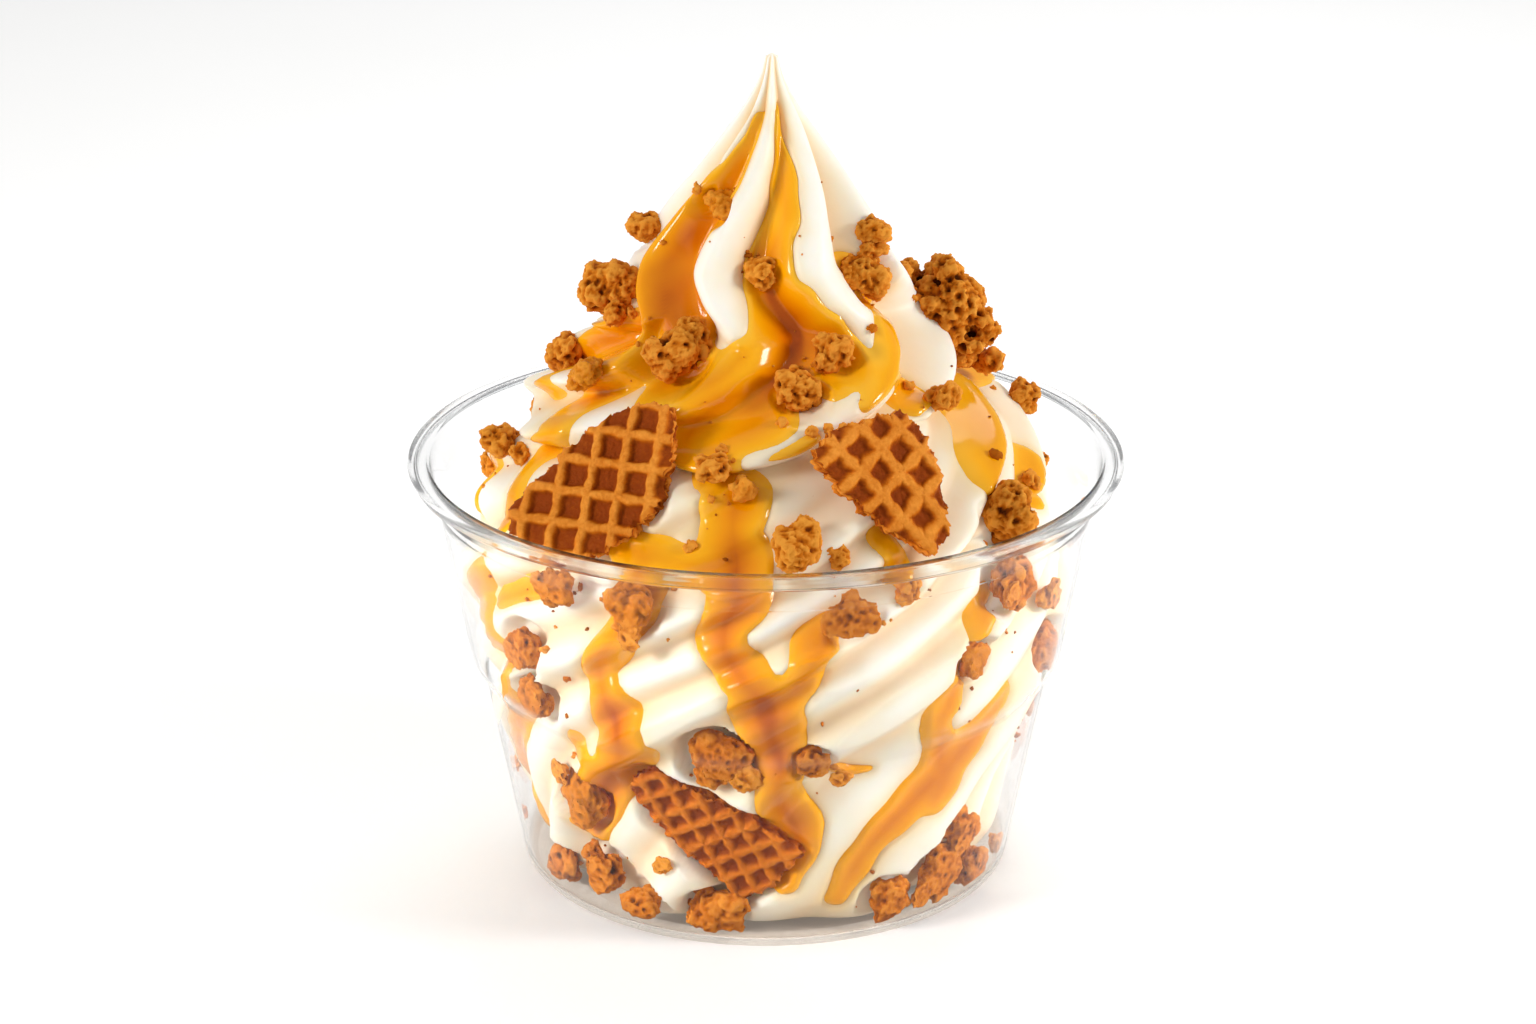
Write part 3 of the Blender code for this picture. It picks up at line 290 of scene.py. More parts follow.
# Crumbs too small for a solid: the column and row of the middle in the photograph, and the width.
SEEN_SMALL_CRUMBS = (
    (622, 312, 4.2), (525, 451, 3.2), (487, 464, 3.4), (1023, 478, 3.6), (1062, 509, 3.0),
    (530, 358, 3.2), (884, 250, 4.0), (838, 556, 4.6), (816, 408, 3.4), (783, 424, 1.8),
    (812, 431, 1.6), (826, 427, 1.4), (633, 631, 3.8), (1037, 593, 4.4), (750, 776, 3.8),
    (566, 768, 3.2), (835, 770, 2.4), (983, 842, 3.0), (937, 897, 3.4), (512, 763, 2.4),
    (520, 813, 2.2), (700, 189, 1.4), (800, 537, 2.2), (667, 862, 2.6), (690, 548, 1.8),
    (905, 385, 1.4), (722, 449, 1.8), (640, 312, 1.3), (858, 452, 1.5),
)
# The same on the far side: azimuth, height and width.
FAR_SMALL_CRUMBS = ((120, 70.0, 3.6), (-160, 48.0, 3.8), (165, 30.0, 3.4), (-100, 20.0, 3.6),
                    (150, 84.0, 2.4), (-120, 66.0, 3.0), (98, 55.5, 3.4))
# How far out small crumbs and dust lie, in widths.
SMALL_OUT = 0.12
DUST_OUT = 0.3
# Dust: number of grains, least size and spread of sizes, how far it scatters in widths of the
# crumb, its heights, the least radius it scatters round, its dents, stretch and relief.
DUST = 230
DUST_SIZE = (0.13, 0.11)
DUST_SCATTER = 0.75
DUST_HEIGHTS = (4.0, 104.0)
DUST_CORE = 5.0
DUST_DENTS = (0.6, 1.25)
DUST_STRETCH = (0.7, 1.4)
DUST_RELIEF = (0.3, 0.9)

# Waffle pieces: thickness, points round the edge, rings on the face, steps down the edge, rings
# behind, and rounds that soften the outline.
WAFFLE_THICKNESS = 2.8
WAFFLE_ROUND = 320
WAFFLE_RINGS = 50
WAFFLE_SIDE_STEPS = 14
WAFFLE_BACK_RINGS = 5
OUTLINE_ROUNDS = 6
# Where a piece may shade the swirl: how squarely it faces out, and the margin round it.
FACING = 0.2
BEHIND_MARGIN = (0.4, 1.8)
# Rib width, softness of the cell's sides, depth of the cells and wobble of the ribs, by piece.
WAFFLE_RELIEF = {"waffle_left": (0.95, 0.60, 0.85, 0.10), "waffle_right": (1.0, 0.85, 0.8, 0.14),
                 "waffle_front": (0.75, 0.65, 0.7, 0.14), "waffle_back": (1.05, 0.7, 1.0, 0.12)}
# Waves of the ribs: size, turn for each millimetre across and along, and start.
RIB_WAVES = ((1.0, 1.9, 0.7, 0.0), (0.8, -1.3, 2.7, 1.0))
# Half the width of a rib's top, as a share of the rib, and the height of its crown.
RIB_TOP = 0.42
RIB_CROWN = 0.14
# Tears in the edge: size and number in a millimetre, and the mean that is taken off them.
TEARS = ((0.7, 0.5), (0.55, 1.3), (0.3, 2.9))
TEAR_MEAN = 0.25
# Wear at the edge of the face: its depth and its width.
WORN = (0.35, 0.7)
# Grain of the face: size, number in a millimetre, and level in the noise.
FACE_GRAIN = ((0.10, 2.2, 3.0), (0.06, 5.0, 9.0))
# Open crumb of the edge: size, number in a millimetre and start, and how flat its holes are.
EDGE_CRUMB = ((1.0, 0.95, 5.0), (0.6, 2.2, 8.0))
EDGE_SQUEEZE = 1.5
# Bulge of the edge from its crumb, and how far its middle is hollow.
EDGE_BULGE = (0.62, 0.30)
# Relief that colours a piece, with painted shade in its cells: ribs and grain of the face, mean and crumb
# of the edge, and back.
FACE_TONE = (0.85, 1.2)
EDGE_TONE = (0.5, 1.1)
BACK_TONE = 0.6
# Each piece: azimuth, height and radius of its middle, where its face looks, spin and pitch of its
# grid, and then a crossing of two ribs and the corners, as columns and rows of the photograph.
SEEN_WAFFLES = (
    ("waffle_left", (-38.0, 65.0, 35.5), (-22.0, 28.0), 0.0, 4.2, (593, 461),
     ((650, 399), (668, 402), (672, 442), (657, 505), (630, 536), (590, 558), (548, 560),
      (504, 531), (507, 503), (535, 477), (574, 436), (612, 412))),
    ("waffle_right", (26.0, 65.5, 36.5), (24.0, 26.0), 35.0, 4.1, (861, 471),
     ((813, 457), (826, 434), (862, 419), (904, 408), (922, 424), (938, 456), (949, 492),
      (953, 536), (938, 557), (905, 538), (868, 511), (838, 484))),
    ("waffle_front", (-11.0, 15.5, 31.8), (-11.0, -8.0), 27.0, 3.0, (734, 855),
     ((631, 777), (650, 769), (690, 790), (745, 815), (804, 857), (778, 884), (744, 905),
      (715, 880), (683, 851), (652, 824), (634, 795))),
)
# The piece on the far side has its crossing and its corners in millimetres on its own face.
FAR_WAFFLE = ("waffle_back", (-168.0, 67.0, 35.4), (-168.0, 34.0), 20.0, 4.2, (0.0, 0.0),
              ((9.0, 7.5), (10.0, -2.0), (5.5, -8.0), (-2.0, -9.0), (-9.5, -4.5), (-7.5, 3.0),
               (-1.0, 8.0)))

# Where the photograph was seen from, its size and its focal length in pixels.
VIEW_TARGET = (0.3, 0.0, 49.87)
VIEW_DISTANCE = 520.0
VIEW_ELEVATION = 20.83
VIEW_SIZE = (1536, 1024)
VIEW_FOCUS = 3769.0
VIEW_NEAR = 440.0
VIEW_FAR = 560.0
VIEW_STEP = 0.1

SENSOR_WIDTH = 36.0
# Lamps: name, place and size in metres, watts and colour, all aimed at the middle of the cup.
LAMPS = (("left_softbox", (-0.55, -0.30, 0.34), 0.20, 2.5, (1.0, 0.985, 0.96)),
         ("right_softbox", (0.55, -0.12, 0.30), 0.18, 2.1, (1.0, 0.985, 0.96)),
         ("back_softbox", (0.10, 0.50, 0.60), 0.5, 1.6, (1.0, 1.0, 1.0)))
LAMP_AIM = (0.0, 0.0, 0.05)
# Surroundings: brightness at the horizon and overhead, the height where it is full, and strength.
SKY_LOW = (0.62, 0.62, 0.63, 1.0)
SKY_HIGH = (1.0, 1.0, 1.0, 1.0)
SKY_FULL = 0.6
SKY_STRENGTH = 0.42
FLOOR_REACH = 3.0
# Stands in for a length of 0 that is divided by.
TINY = 1e-9


# ---------------------------------------------------------------- forms

def curve(points, value):
    """Smooth curve through named points that never overshoots them (monotone Hermite)."""
    places, values = np.array(points, float).T
    steps = np.diff(places)
    rises = np.diff(values) / steps
    product = rises[:-1] * rises[1:]
    total = rises[:-1] + rises[1:]
    inner = np.where(product > 0.0, 2.0 * product / np.where(total == 0.0, 1.0, total), 0.0)
    slopes = np.concatenate((rises[:1], inner, rises[-1:]))
    index = np.clip(np.searchsorted(places, value) - 1, 0, len(places) - 2)
    span = steps[index]
    share = np.clip((value - places[index]) / span, 0.0, 1.0)
    square = share * share
    cube = square * share
    return ((2 * cube - 3 * square + 1) * values[index]
            + (cube - 2 * square + share) * span * slopes[index]
            + (3 * square - 2 * cube) * values[index + 1]
            + (cube - square) * span * slopes[index + 1])


def smooth_step(value):
    """Soft step from 0 to 1."""
    value = np.clip(value, 0.0, 1.0)
    return value * value * (3.0 - 2.0 * value)


def waves(across, along, table):
    """Sum of sine waves, each with its size, its turn in both directions and its start."""
    return sum(size * np.sin(turn * across + rise * along + start) for size, turn, rise, start in table)


def around(azimuth, start, radius):
    """Length round the axis from one azimuth to another, the short way."""
    return np.radians((azimuth - start + 180.0) % 360.0 - 180.0) * radius


def cup_outside(height):
    """Outer radius of the cup wall at a height."""
    lower = LOWER_WALL[0] + LOWER_WALL[1] * height
    upper = UPPER_WALL[0] + UPPER_WALL[1] * height
    share = smooth_step((height - STEP_BOTTOM) / (STEP_TOP - STEP_BOTTOM))
    return lower + (upper - lower) * share


def contents_limit(height, clearance):
    """Largest radius that the contents may have, free above the mouth."""
    draw, below = DRAWN_IN
    inside = cup_outside(height) - WALL - clearance - draw * smooth_step((below - height) / below)
    return np.where(height > RIM_HEIGHT + FREE_ABOVE, NO_LIMIT, inside)


def ridge_profile(place):
    """1 on the ridge's round crown, 0 in the groove, for a place counted in ridges."""
    wave = 0.5 + 0.5 * np.cos(2.0 * np.pi * place)
    return wave ** RIDGE_ROUND


def coil_profile(azimuth, height):
    """Round outline of one coil, 0 at its creases and 1 where it stands out most."""
    phase = (height - FIRST_CREASE) / COIL_PITCH - azimuth / 360.0
    below_top = np.ceil(phase) - phase
    return below_top ** COIL_UPPER * (1.0 - below_top) ** COIL_LOWER / COIL_PEAK


def ridge_relief(azimuth, height):
    """Height of the ridges over the mean surface, and the share of groove at each place."""
    depth = curve(RIDGE_DEPTH, height)
    turned = azimuth - curve(TWIST, height)
    place = (turned - UNEVEN_SHIFT + UNEVEN_SWING * np.cos(2.0 * np.radians(turned))) / RIDGE_ANGLE
    split = np.clip(curve(SPLIT, height), 0.0, 1.0)
    whole = ridge_profile(place)
    half = ridge_profile(2.0 * place)
    relief = depth * ((1.0 - SPLIT_LOSS * split) * (whole - RIDGE_MEAN)
                      + SPLIT_DEPTH * split * (half - RIDGE_MEAN))
    groove = 1.0 - np.maximum(whole * (1.0 - split), half * split)
    return relief, groove


def coil_relief(azimuth, height):
    return np.clip(curve(BULGE, height), 0.0, None) * coil_profile(azimuth, height)


def cream_radius(azimuth, height):
    """Radius of the ice cream before the cup and the toppings hold it back."""
    core = curve(CORE, height)
    relief, _ = ridge_relief(azimuth, height)
    wave = waves(np.radians(azimuth), height, SWELLS) * np.clip(core / SWELL_FULL_RADIUS, 0.0, 1.0)
    return np.maximum(core + coil_relief(azimuth, height) + relief + wave, THINNEST)


def swirl_lean(height):
    return curve(LEAN, height)


def swirl_point(azimuth, height, radius):
    """Position in millimetres of a place on the swirl."""
    angle = np.radians(azimuth)
    across = radius * np.sin(angle) + swirl_lean(height)
    return np.stack(np.broadcast_arrays(across, -radius * np.cos(angle), height), -1)


def groove_level(azimuth, height):
    """Radius to which sauce fills the grooves."""
    return curve(CORE, height) + coil_relief(azimuth, height) - GROOVE_FILL * curve(RIDGE_DEPTH, height)


def wetted_level(azimuth, height):
    """Radius of the ice cream, or of the sauce that fills its grooves, held back by the cup wall."""
    level = np.maximum(cream_radius(azimuth, height), groove_level(azimuth, height))
    return np.minimum(level, contents_limit(height, CREAM_WALL_GAP))


def view_ray(column, row):
    """Eye, and direction of sight through a place in the photograph for 1 mm of distance."""
    rise = np.radians(VIEW_ELEVATION)
    forward = np.array((0.0, np.cos(rise), -np.sin(rise)))
    upward = np.array((0.0, np.sin(rise), np.cos(rise)))
    rightward = np.array((1.0, 0.0, 0.0))
    across = (column - 0.5 * VIEW_SIZE[0]) / VIEW_FOCUS
    above = (0.5 * VIEW_SIZE[1] - row) / VIEW_FOCUS
    return np.array(VIEW_TARGET) - VIEW_DISTANCE * forward, forward + across * rightward + above * upward


def seen_place(column, row, surface, *sizes):
    """Azimuth and height where a line of sight first meets a surface, or passes nearest to it."""
    eye, direction = view_ray(column, row)
    points = eye + np.arange(VIEW_NEAR, VIEW_FAR, VIEW_STEP)[:, None] * direction
    points = points[(points[:, 2] > CREAM_BOTTOM) & (points[:, 2] < TIP_HEIGHT)]
    height = points[:, 2]
    across = points[:, 0] - swirl_lean(height)
    azimuth = np.degrees(np.arctan2(across, -points[:, 1]))
    outside = np.hypot(across, points[:, 1]) - surface(azimuth, height, *sizes)
    met = np.flatnonzero(outside <= 0.0)
    nearest = met[0] if len(met) else np.argmin(outside)
    return float(azimuth[nearest]), float(height[nearest])


def stream_bends():
    """Azimuth, height and half width of each bend of every stream."""
    seen = [[(*seen_place(column, row, wetted_level), half) for column, row, half in bends]
            for bends in SEEN_STREAMS]
    return seen + list(FAR_STREAMS)


def crumb_middles():
    """Azimuth, height, distance from the axis and width of every crumb of the CAD model."""
    middles = []
    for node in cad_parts:
        if node.startswith("crumb_"):
            low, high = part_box(node)
            across, back, height = 0.5 * (low + high) / MM
            across -= float(swirl_lean(height))
            width = CRUMB_SHRINK * sum(high - low) / 3.0 / MM
            middles.append((np.degrees(np.arctan2(across, -back)), height, np.hypot(across, back), width))
    return middles


def press_crumbs(azimuth, height, radius):
    """Hollow the surface round every crumb, so that no cream lies over it."""
    for place, crumb_height, centre, width in CRUMBS:
        away = np.hypot(around(azimuth, place, centre), height - crumb_height) / (0.5 * width)
        reach, slope, sunk = HOLLOW_IN_CUP if crumb_height < PRESSED_BELOW else HOLLOW
        keep = smooth_step((away - reach) / slope)
        floor = centre - sunk * width
        radius = np.where(radius > floor, floor + (radius - floor) * keep, radius)
    return radius


def outline_distance(across, along, outline):
    """Distance to a closed outline, negative inside it."""
    distance = np.full(np.shape(across), np.inf)
    inside = np.zeros(np.shape(across), bool)
    for (x0, y0), (x1, y1) in zip(outline, outline[1:] + outline[:1]):
        run = x1 - x0
        rise = y1 - y0
        share = np.clip(((across - x0) * run + (along - y0) * rise) / (run * run + rise * rise), 0.0, 1.0)
        distance = np.minimum(distance, np.hypot(across - x0 - share * run, along - y0 - share * rise))
        crosses = (y0 > along) != (y1 > along)
        slope = run / rise if rise else 0.0
        inside ^= crosses & (across < x0 + slope * (along - y0))
    return np.where(inside, -distance, distance)


def waffle_frame(place, look):
    """Centre and the right, up and outward directions of a waffle piece."""
    centre = swirl_point(place[0], place[1], place[2])
    azimuth, rise = np.radians(look)
    outward = np.array((np.sin(azimuth) * np.cos(rise), -np.cos(azimuth) * np.cos(rise), np.sin(rise)))
    right = np.array((np.cos(azimuth), np.sin(azimuth), 0.0))
    return centre, right, np.cross(outward, right), outward


def seen_outline(place, look, corners):
    """Corners seen in the photograph, in millimetres on the face of a waffle piece."""
    centre, right, up, outward = waffle_frame(place, look)
    outline = []
    for column, row in corners:
        eye, direction = view_ray(column, row)
        distance = ((centre - eye) @ outward + 0.5 * WAFFLE_THICKNESS) / (direction @ outward)
        offset = eye + distance * direction - centre
        outline.append((float(offset @ right), float(offset @ up)))
    return outline


def waffle_pieces():
    """Every waffle piece, with its crossing and its corners in millimetres on its face."""
    seen = []
    for name, place, look, spin, pitch, crossing, corners in SEEN_WAFFLES:
        middle, *outline = seen_outline(place, look, (crossing, *corners))
        seen.append((name, place, look, spin, pitch, middle, outline))
    return seen + [(*FAR_WAFFLE[:-1], list(FAR_WAFFLE[-1]))]


def press_waffles(azimuth, height, radius):
    """Keep the surface behind every waffle piece that lies on it."""
    angle = np.radians(azimuth)
    for _, place, look, _, _, _, outline in WAFFLES:
        centre, right, up, outward = waffle_frame(place, look)
        back = centre - 0.5 * WAFFLE_THICKNESS * outward
        facing = np.sin(angle) * outward[0] - np.cos(angle) * outward[1]
        ahead = facing > FACING
        safe = np.where(ahead, facing, 1.0)
        behind = (back @ outward - height * outward[2] - swirl_lean(height) * outward[0]) / safe
        offset = swirl_point(azimuth, height, behind) - centre
        distance = outline_distance(offset @ right, offset @ up, outline)
        keep = smooth_step((distance + BEHIND_MARGIN[0]) / BEHIND_MARGIN[1])
        pressed = behind + (radius - behind) * keep
        radius = np.where(ahead & (radius > behind) & (behind > 0.0), pressed, radius)
    return radius


def smooth_path(points, steps):
    """Catmull-Rom curve through the bends of a stream."""
    points = np.array(points, float)
    padded = np.vstack((2 * points[0] - points[1], points, 2 * points[-1] - points[-2]))
    path = []
    for first, start, end, last in zip(padded, padded[1:], padded[2:], padded[3:]):
        for t in np.arange(steps) / steps:
            bend = (2 * first - 5 * start + 4 * end - last) * t ** 2
            turn = (3 * start - first - 3 * end + last) * t ** 3
            path.append(0.5 * (2 * start + (end - first) * t + bend + turn))
    path.append(points[-1])
    return np.array(path)


def stream_field(azimuth, height, radius):
    """Distance inside the edge of the nearest sauce stream, with round joins between streams."""
    total = np.zeros(np.shape(azimuth))
    for bends in STREAMS:
        nearest = np.full(np.shape(azimuth), -np.inf)
        path = smooth_path(bends, STREAM_STEPS)
        for start, end in zip(path, path[1:]):
            across = around(azimuth, start[0], radius)
            down = height - start[1]
            run = np.radians(end[0] - start[0]) * radius
            drop = end[1] - start[1]
            share = np.clip((across * run + down * drop) / (run * run + drop * drop + TINY), 0.0, 1.0)
            distance = np.hypot(across - share * run, down - share * drop)
            nearest = np.maximum(nearest, start[2] + share * (end[2] - start[2]) - distance)
        total += np.exp(np.clip(nearest, -STREAM_FAR, STREAM_FAR) / STREAM_JOIN)
    return STREAM_JOIN * np.log(total)


def swirl_fields():
    """Radius of the cream and of the sauce on one grid, with the values that colour them."""
    azimuths = -180.0 + 360.0 * np.arange(CREAM_COLUMNS) / CREAM_COLUMNS
    heights = np.linspace(CREAM_BOTTOM, TIP_HEIGHT - END_DROP, CREAM_ROWS)
    azimuth, height = np.meshgrid(azimuths, heights)

    def pressed(radius):
        return press_waffles(azimuth, height, press_crumbs(azimuth, height, radius))

    base = pressed(np.minimum(cream_radius(azimuth, height), contents_limit(height, INTO_WALL)))
    level = pressed(groove_level(azimuth, height))
    _, groove = ridge_relief(azimuth, height)
    pull, middle = STREAM_PULL
    edge = stream_field(azimuth, height, np.maximum(curve(CORE, height), THINNEST_CORE))
    edge = edge + waves(azimuth, height, STREAM_WANDER) + pull * (groove - middle)
    mask = smooth_step((edge + STREAM_SOFT[0]) / STREAM_SOFT[1])
    filled = np.minimum(np.maximum(base + SAUCE_FILM, level), contents_limit(height, SAUCE_INTO_WALL))
    sauce = base - SAUCE_DIP + (filled - base + SAUCE_DIP) * mask
    low, high = SAUCE_TONE_HEIGHTS
    above = smooth_step((height - low) / (high - low))
    start = SAUCE_TONE[0] + (SAUCE_TONE[1] - SAUCE_TONE[0]) * above
    from_edge, thick = SAUCE_DEPTH
    depth = from_edge * edge + thick * (filled - base - SAUCE_FILM) + start
    return {"azimuth": azimuth, "height": height, "cream": base - SAUCE_SINK * mask, "sauce": sauce,
            "mask": mask, "outer": np.where(mask > 0.5, sauce, base),
            "depth": np.clip(depth, 0.0, 1.0), "shade": np.clip(groove, 0.0, 1.0),
            "sauce_stain_and_shade": smooth_step((edge + STAIN_AND_SHADE_REACH) / STAIN_AND_SHADE_REACH)}


STREAMS = stream_bends()
CRUMBS = crumb_middles()
WAFFLES = waffle_pieces()


# ---------------------------------------------------------------- meshes

def add_item(name, data):
    """Object of the scene for a mesh, a lamp or a camera."""
    item = bpy.data.objects.new(name, data)
    bpy.context.scene.collection.objects.link(item)
    return item


def add_mesh(name, points, faces, material, **values):
    """Piece from millimetre points, with its colouring values kept on the vertices."""
    mesh = bpy.data.meshes.new(name)
    mesh.from_pydata((np.asarray(points) * MM).tolist(), [], faces)
    mesh.shade_smooth()
    for key, value in values.items():
        layer = mesh.attributes.new(key, "FLOAT", "POINT")
        layer.data.foreach_set("value", np.asarray(value, np.float32).ravel())
    mesh.materials.append(material)
    return add_item(name, mesh)


def finish_piece(piece, slot, *nodes):
    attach(piece, "root")
    if nodes:
        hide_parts(*nodes)


def wrapped_quads(rows, columns):
    """Faces of a grid that closes on itself sideways."""
    index = np.arange(rows * columns).reshape(rows, columns)
    beside = np.roll(index, -1, 1)
    quads = np.stack((index[:-1], beside[:-1], beside[1:], index[1:]), -1)
    return quads.reshape(-1, 4)


def capped_faces(rows, columns):
    """Faces of such a grid, and fans from its first and last rows to the two points after it."""
    faces = wrapped_quads(rows, columns).tolist()
    count = rows * columns
    last_row = count - columns
    for column in range(columns):
        beside = (column + 1) % columns
        faces.append((count, beside, column))
        faces.append((count + 1, last_row + column, last_row + beside))
    return faces


def swirl_surface(fields, radius):
    return swirl_point(fields["azimuth"], fields["height"], radius).reshape(-1, 3)


def make_cream(fields, material):
    tip = (float(swirl_lean(TIP_HEIGHT)), 0.0, TIP_HEIGHT)
    points = np.vstack((swirl_surface(fields, fields["cream"]), (0.0, 0.0, CREAM_BOTTOM - END_DROP), tip))
    values = {key: np.append(fields[key].ravel(), (0.0, 0.0)) for key in ("shade", "sauce_stain_and_shade")}
    piece = add_mesh("cream", points, capped_faces(*fields["cream"].shape), material, **values)
    finish_piece(piece, "ice_cream", "ice_cream")


def make_sauce(fields, material):
    """Closed caramel body: its free surface, its underside in the cream, and the rim between."""
    outer = swirl_surface(fields, fields["sauce"])
    under = np.minimum(fields["cream"], fields["sauce"]) - SAUCE_UNDER
    inner = swirl_surface(fields, np.maximum(under, THINNEST_UNDER))
    quads = wrapped_quads(*fields["sauce"].shape)
    kept = quads[(fields["mask"].ravel()[quads] > SAUCE_CUT).any(axis=1)]
    edges = np.stack((kept, np.roll(kept, -1, 1)), -1).reshape(-1, 2)
    count = len(outer)
    keys = edges[:, 0] * count + edges[:, 1]
    opposite = edges[:, 1] * count + edges[:, 0]
    border = edges[~np.isin(keys, opposite)]
    walls = np.stack((border[:, 1], border[:, 0], border[:, 0] + count, border[:, 1] + count), -1)
    faces = np.vstack((kept, kept[:, ::-1] + count, walls))
    used, faces = np.unique(faces, return_inverse=True)
    points = np.vstack((outer, inner))[used]
    depth = np.tile(fields["depth"].ravel(), 2)[used]
    piece = add_mesh("caramel_sauce", points, faces.reshape(-1, 4).tolist(), material, depth=depth)
    finish_piece(piece, "sauce")


def sphere_mesh(level):
    work = bmesh.new()
    bmesh.ops.create_icosphere(work, subdivisions=level, radius=1.0)
    points = np.array([tuple(vertex.co) for vertex in work.verts])
    faces = [tuple(vertex.index for vertex in face.verts) for face in work.faces]
    work.free()
    return points, faces


def node_reach(node):
    """Centre of a CAD lump, and a function that gives the distance to its surface along a direction."""
    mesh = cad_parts[node].data
    vertices = [vertex.co.copy() for vertex in mesh.vertices]
    tree = BVHTree.FromPolygons(vertices, [tuple(face.vertices) for face in mesh.polygons])
    low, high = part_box(node)
    centre = 0.5 * (low + high)
    usual = USUAL_REACH * (high - low).length

    def reach(direction):
        hit = tree.ray_cast(centre, Vector(direction))
        return (hit[3] if hit[3] is not None else usual) / MM

    return np.array(centre) / MM, reach


def outermost(direction, balls):
    """Distance along a direction from the origin to the outside of the balls that it meets."""
    places, radii = balls
    along = places @ direction
    square = radii ** 2 - np.sum(places ** 2, axis=1) + along ** 2
    return np.max(np.where(square > 0.0, along + np.sqrt(np.maximum(square, 0.0)), 0.0))


def random_direction(rng):
    direction = rng.normal(size=3)
    return direction / np.linalg.norm(direction)


def knob_balls(reach, size, seed, lobes):
    """Balls that make up a crumb: a core, lobes over it and many small knobs over both."""
    rng = np.random.default_rng(seed)
    places = [np.zeros(3)]
    radii = [0.5 * size]
    count, least, greatest = lobes
    for _ in range(count):
        direction = random_direction(rng)
        radius = size * rng.uniform(least, greatest)
        out = max(reach(direction) * rng.uniform(*LOBE_OUT) - radius, 0.0)
        places += [direction * out, direction * out * 0.5]
        radii += [radius, radius]
    body = (np.array(places), np.array(radii))
    share = min(1.0, KNOB_SHARE[0] + KNOB_SHARE[1] * size)
    mean_knob = 0.5 * share * sum(KNOB)
    # A ball's surface is four times the area of its outline.
    for _ in range(int(KNOB_COVER * 4.0 * (size / mean_knob) ** 2)):
        direction = random_direction(rng)
        radius = share * rng.uniform(*KNOB)
        surface = min(outermost(direction, body), KNOB_OUT * reach(direction))
        places.append(direction * (surface - radius * rng.uniform(0.0, KNOB_SUNK)))
        radii.append(radius)
    return np.array(places), np.array(radii)


def fused_mesh(balls, voxel):
    """One closed surface over overlapping balls: points, faces, edges and directions outwards."""
    places, radii = balls
    unit, unit_faces = sphere_mesh(2)
    points = np.vstack([place + unit * radius for place, radius in zip(places, radii)])
    faces = [tuple(corner + start * len(unit) for corner in face)
             for start in range(len(places)) for face in unit_faces]
    mesh = bpy.data.meshes.new("balls")
    mesh.from_pydata(points.tolist(), [], faces)
    item = add_item("balls", mesh)
    modifier = item.modifiers.new("fuse", "REMESH")
    modifier.mode = "VOXEL"
    modifier.voxel_size = voxel
    evaluated = item.evaluated_get(bpy.context.evaluated_depsgraph_get())
    fused = evaluated.to_mesh()
    points = np.array([tuple(vertex.co) for vertex in fused.vertices])
    outwards = np.array([tuple(vertex.normal) for vertex in fused.vertices])
    faces = [tuple(face.vertices) for face in fused.polygons]
    edges = np.array([tuple(edge.vertices) for edge in fused.edges])
    evaluated.to_mesh_clear()
    bpy.data.objects.remove(item, do_unlink=True)
    bpy.data.meshes.remove(mesh)
    return points, faces, edges, outwards


def relaxed(points, edges, steps):
    """Points moved towards the mean of their neighbours."""
    count = np.bincount(edges.ravel(), minlength=len(points))[:, None]
    for _ in range(steps):
        total = np.stack([np.bincount(edges[:, 0], points[edges[:, 1], axis], len(points))
                          + np.bincount(edges[:, 1], points[edges[:, 0], axis], len(points))
                          for axis in range(3)], -1)
        points = 0.5 * (points + total / count)
    return points


def pit_field(points, scale, width, seed):
    """1 in the middle of scattered round pits, 0 between them."""
    nearest = np.array([noise.voronoi(Vector(tuple(point * scale + seed)))[0][0] for point in points])
    return smooth_step((width - nearest) / width)


def craggy_mesh(reach, size, seed, voxel, lobes=LOBES, pit=PIT):
    """Craggy lump about the origin: points, faces and a colour value of painted light and shade."""
    points, faces, edges, outwards = fused_mesh(knob_balls(reach, size, seed, lobes), voxel)
    points = relaxed(points, edges, SOFTENED)
    standing = np.sum((points - relaxed(points, edges, MEAN_STEPS)) * outwards, axis=1)
    scale, width, depth = pit
    hole = pit_field(points, scale, width, seed)
    crags = sum(height * (CRAG_LIFT - np.abs(noise_at(points, count, seed))) for count, height in CRAGS)
    mean, for_standing, for_crags, for_pits = LUMP_LIGHT_AND_SHADE
    # Painted light on what stands out and painted shade in the pits.
    relief = mean + for_standing * standing + for_crags * crags - for_pits * hole
    return points + outwards * (crags - depth * hole)[:, None], faces, np.clip(relief, 0.0, 1.0)


def hold_in_cup(points):
    """Flatten what would pass the wall or the floor of the cup."""
    limit = contents_limit(points[:, 2], TOPPING_GAP)
    distance = np.hypot(points[:, 0], points[:, 1])
    share = np.minimum(limit / np.maximum(distance, TINY), 1.0)
    points = points * np.stack((share, share, np.ones_like(share)), -1)
    points[:, 2] = np.maximum(points[:, 2], FLOOR + FLOOR_GAP)
    return points


def rest_in_cup(points):
    """Press a lump inside the cup flat against the wall, and lift it off the floor."""
    middle = points.mean(axis=0)
    if middle[2] < PRESSED_BELOW:
        outwards = np.append(middle[:2] / np.hypot(middle[0], middle[1]), 0.0)
        depth = ((points - middle) @ outwards)[:, None] * outwards
        points = middle + SPREAD * (points - middle - depth) + PRESSED * depth
        beyond = np.hypot(points[:, 0], points[:, 1]) - contents_limit(points[:, 2], TOPPING_GAP)
        points = points - (float(beyond.max()) - TOUCHING) * outwards
    points[:, 2] += LIFTED * max(FLOOR - float(points[:, 2].min()), 0.0)
    return hold_in_cup(points)


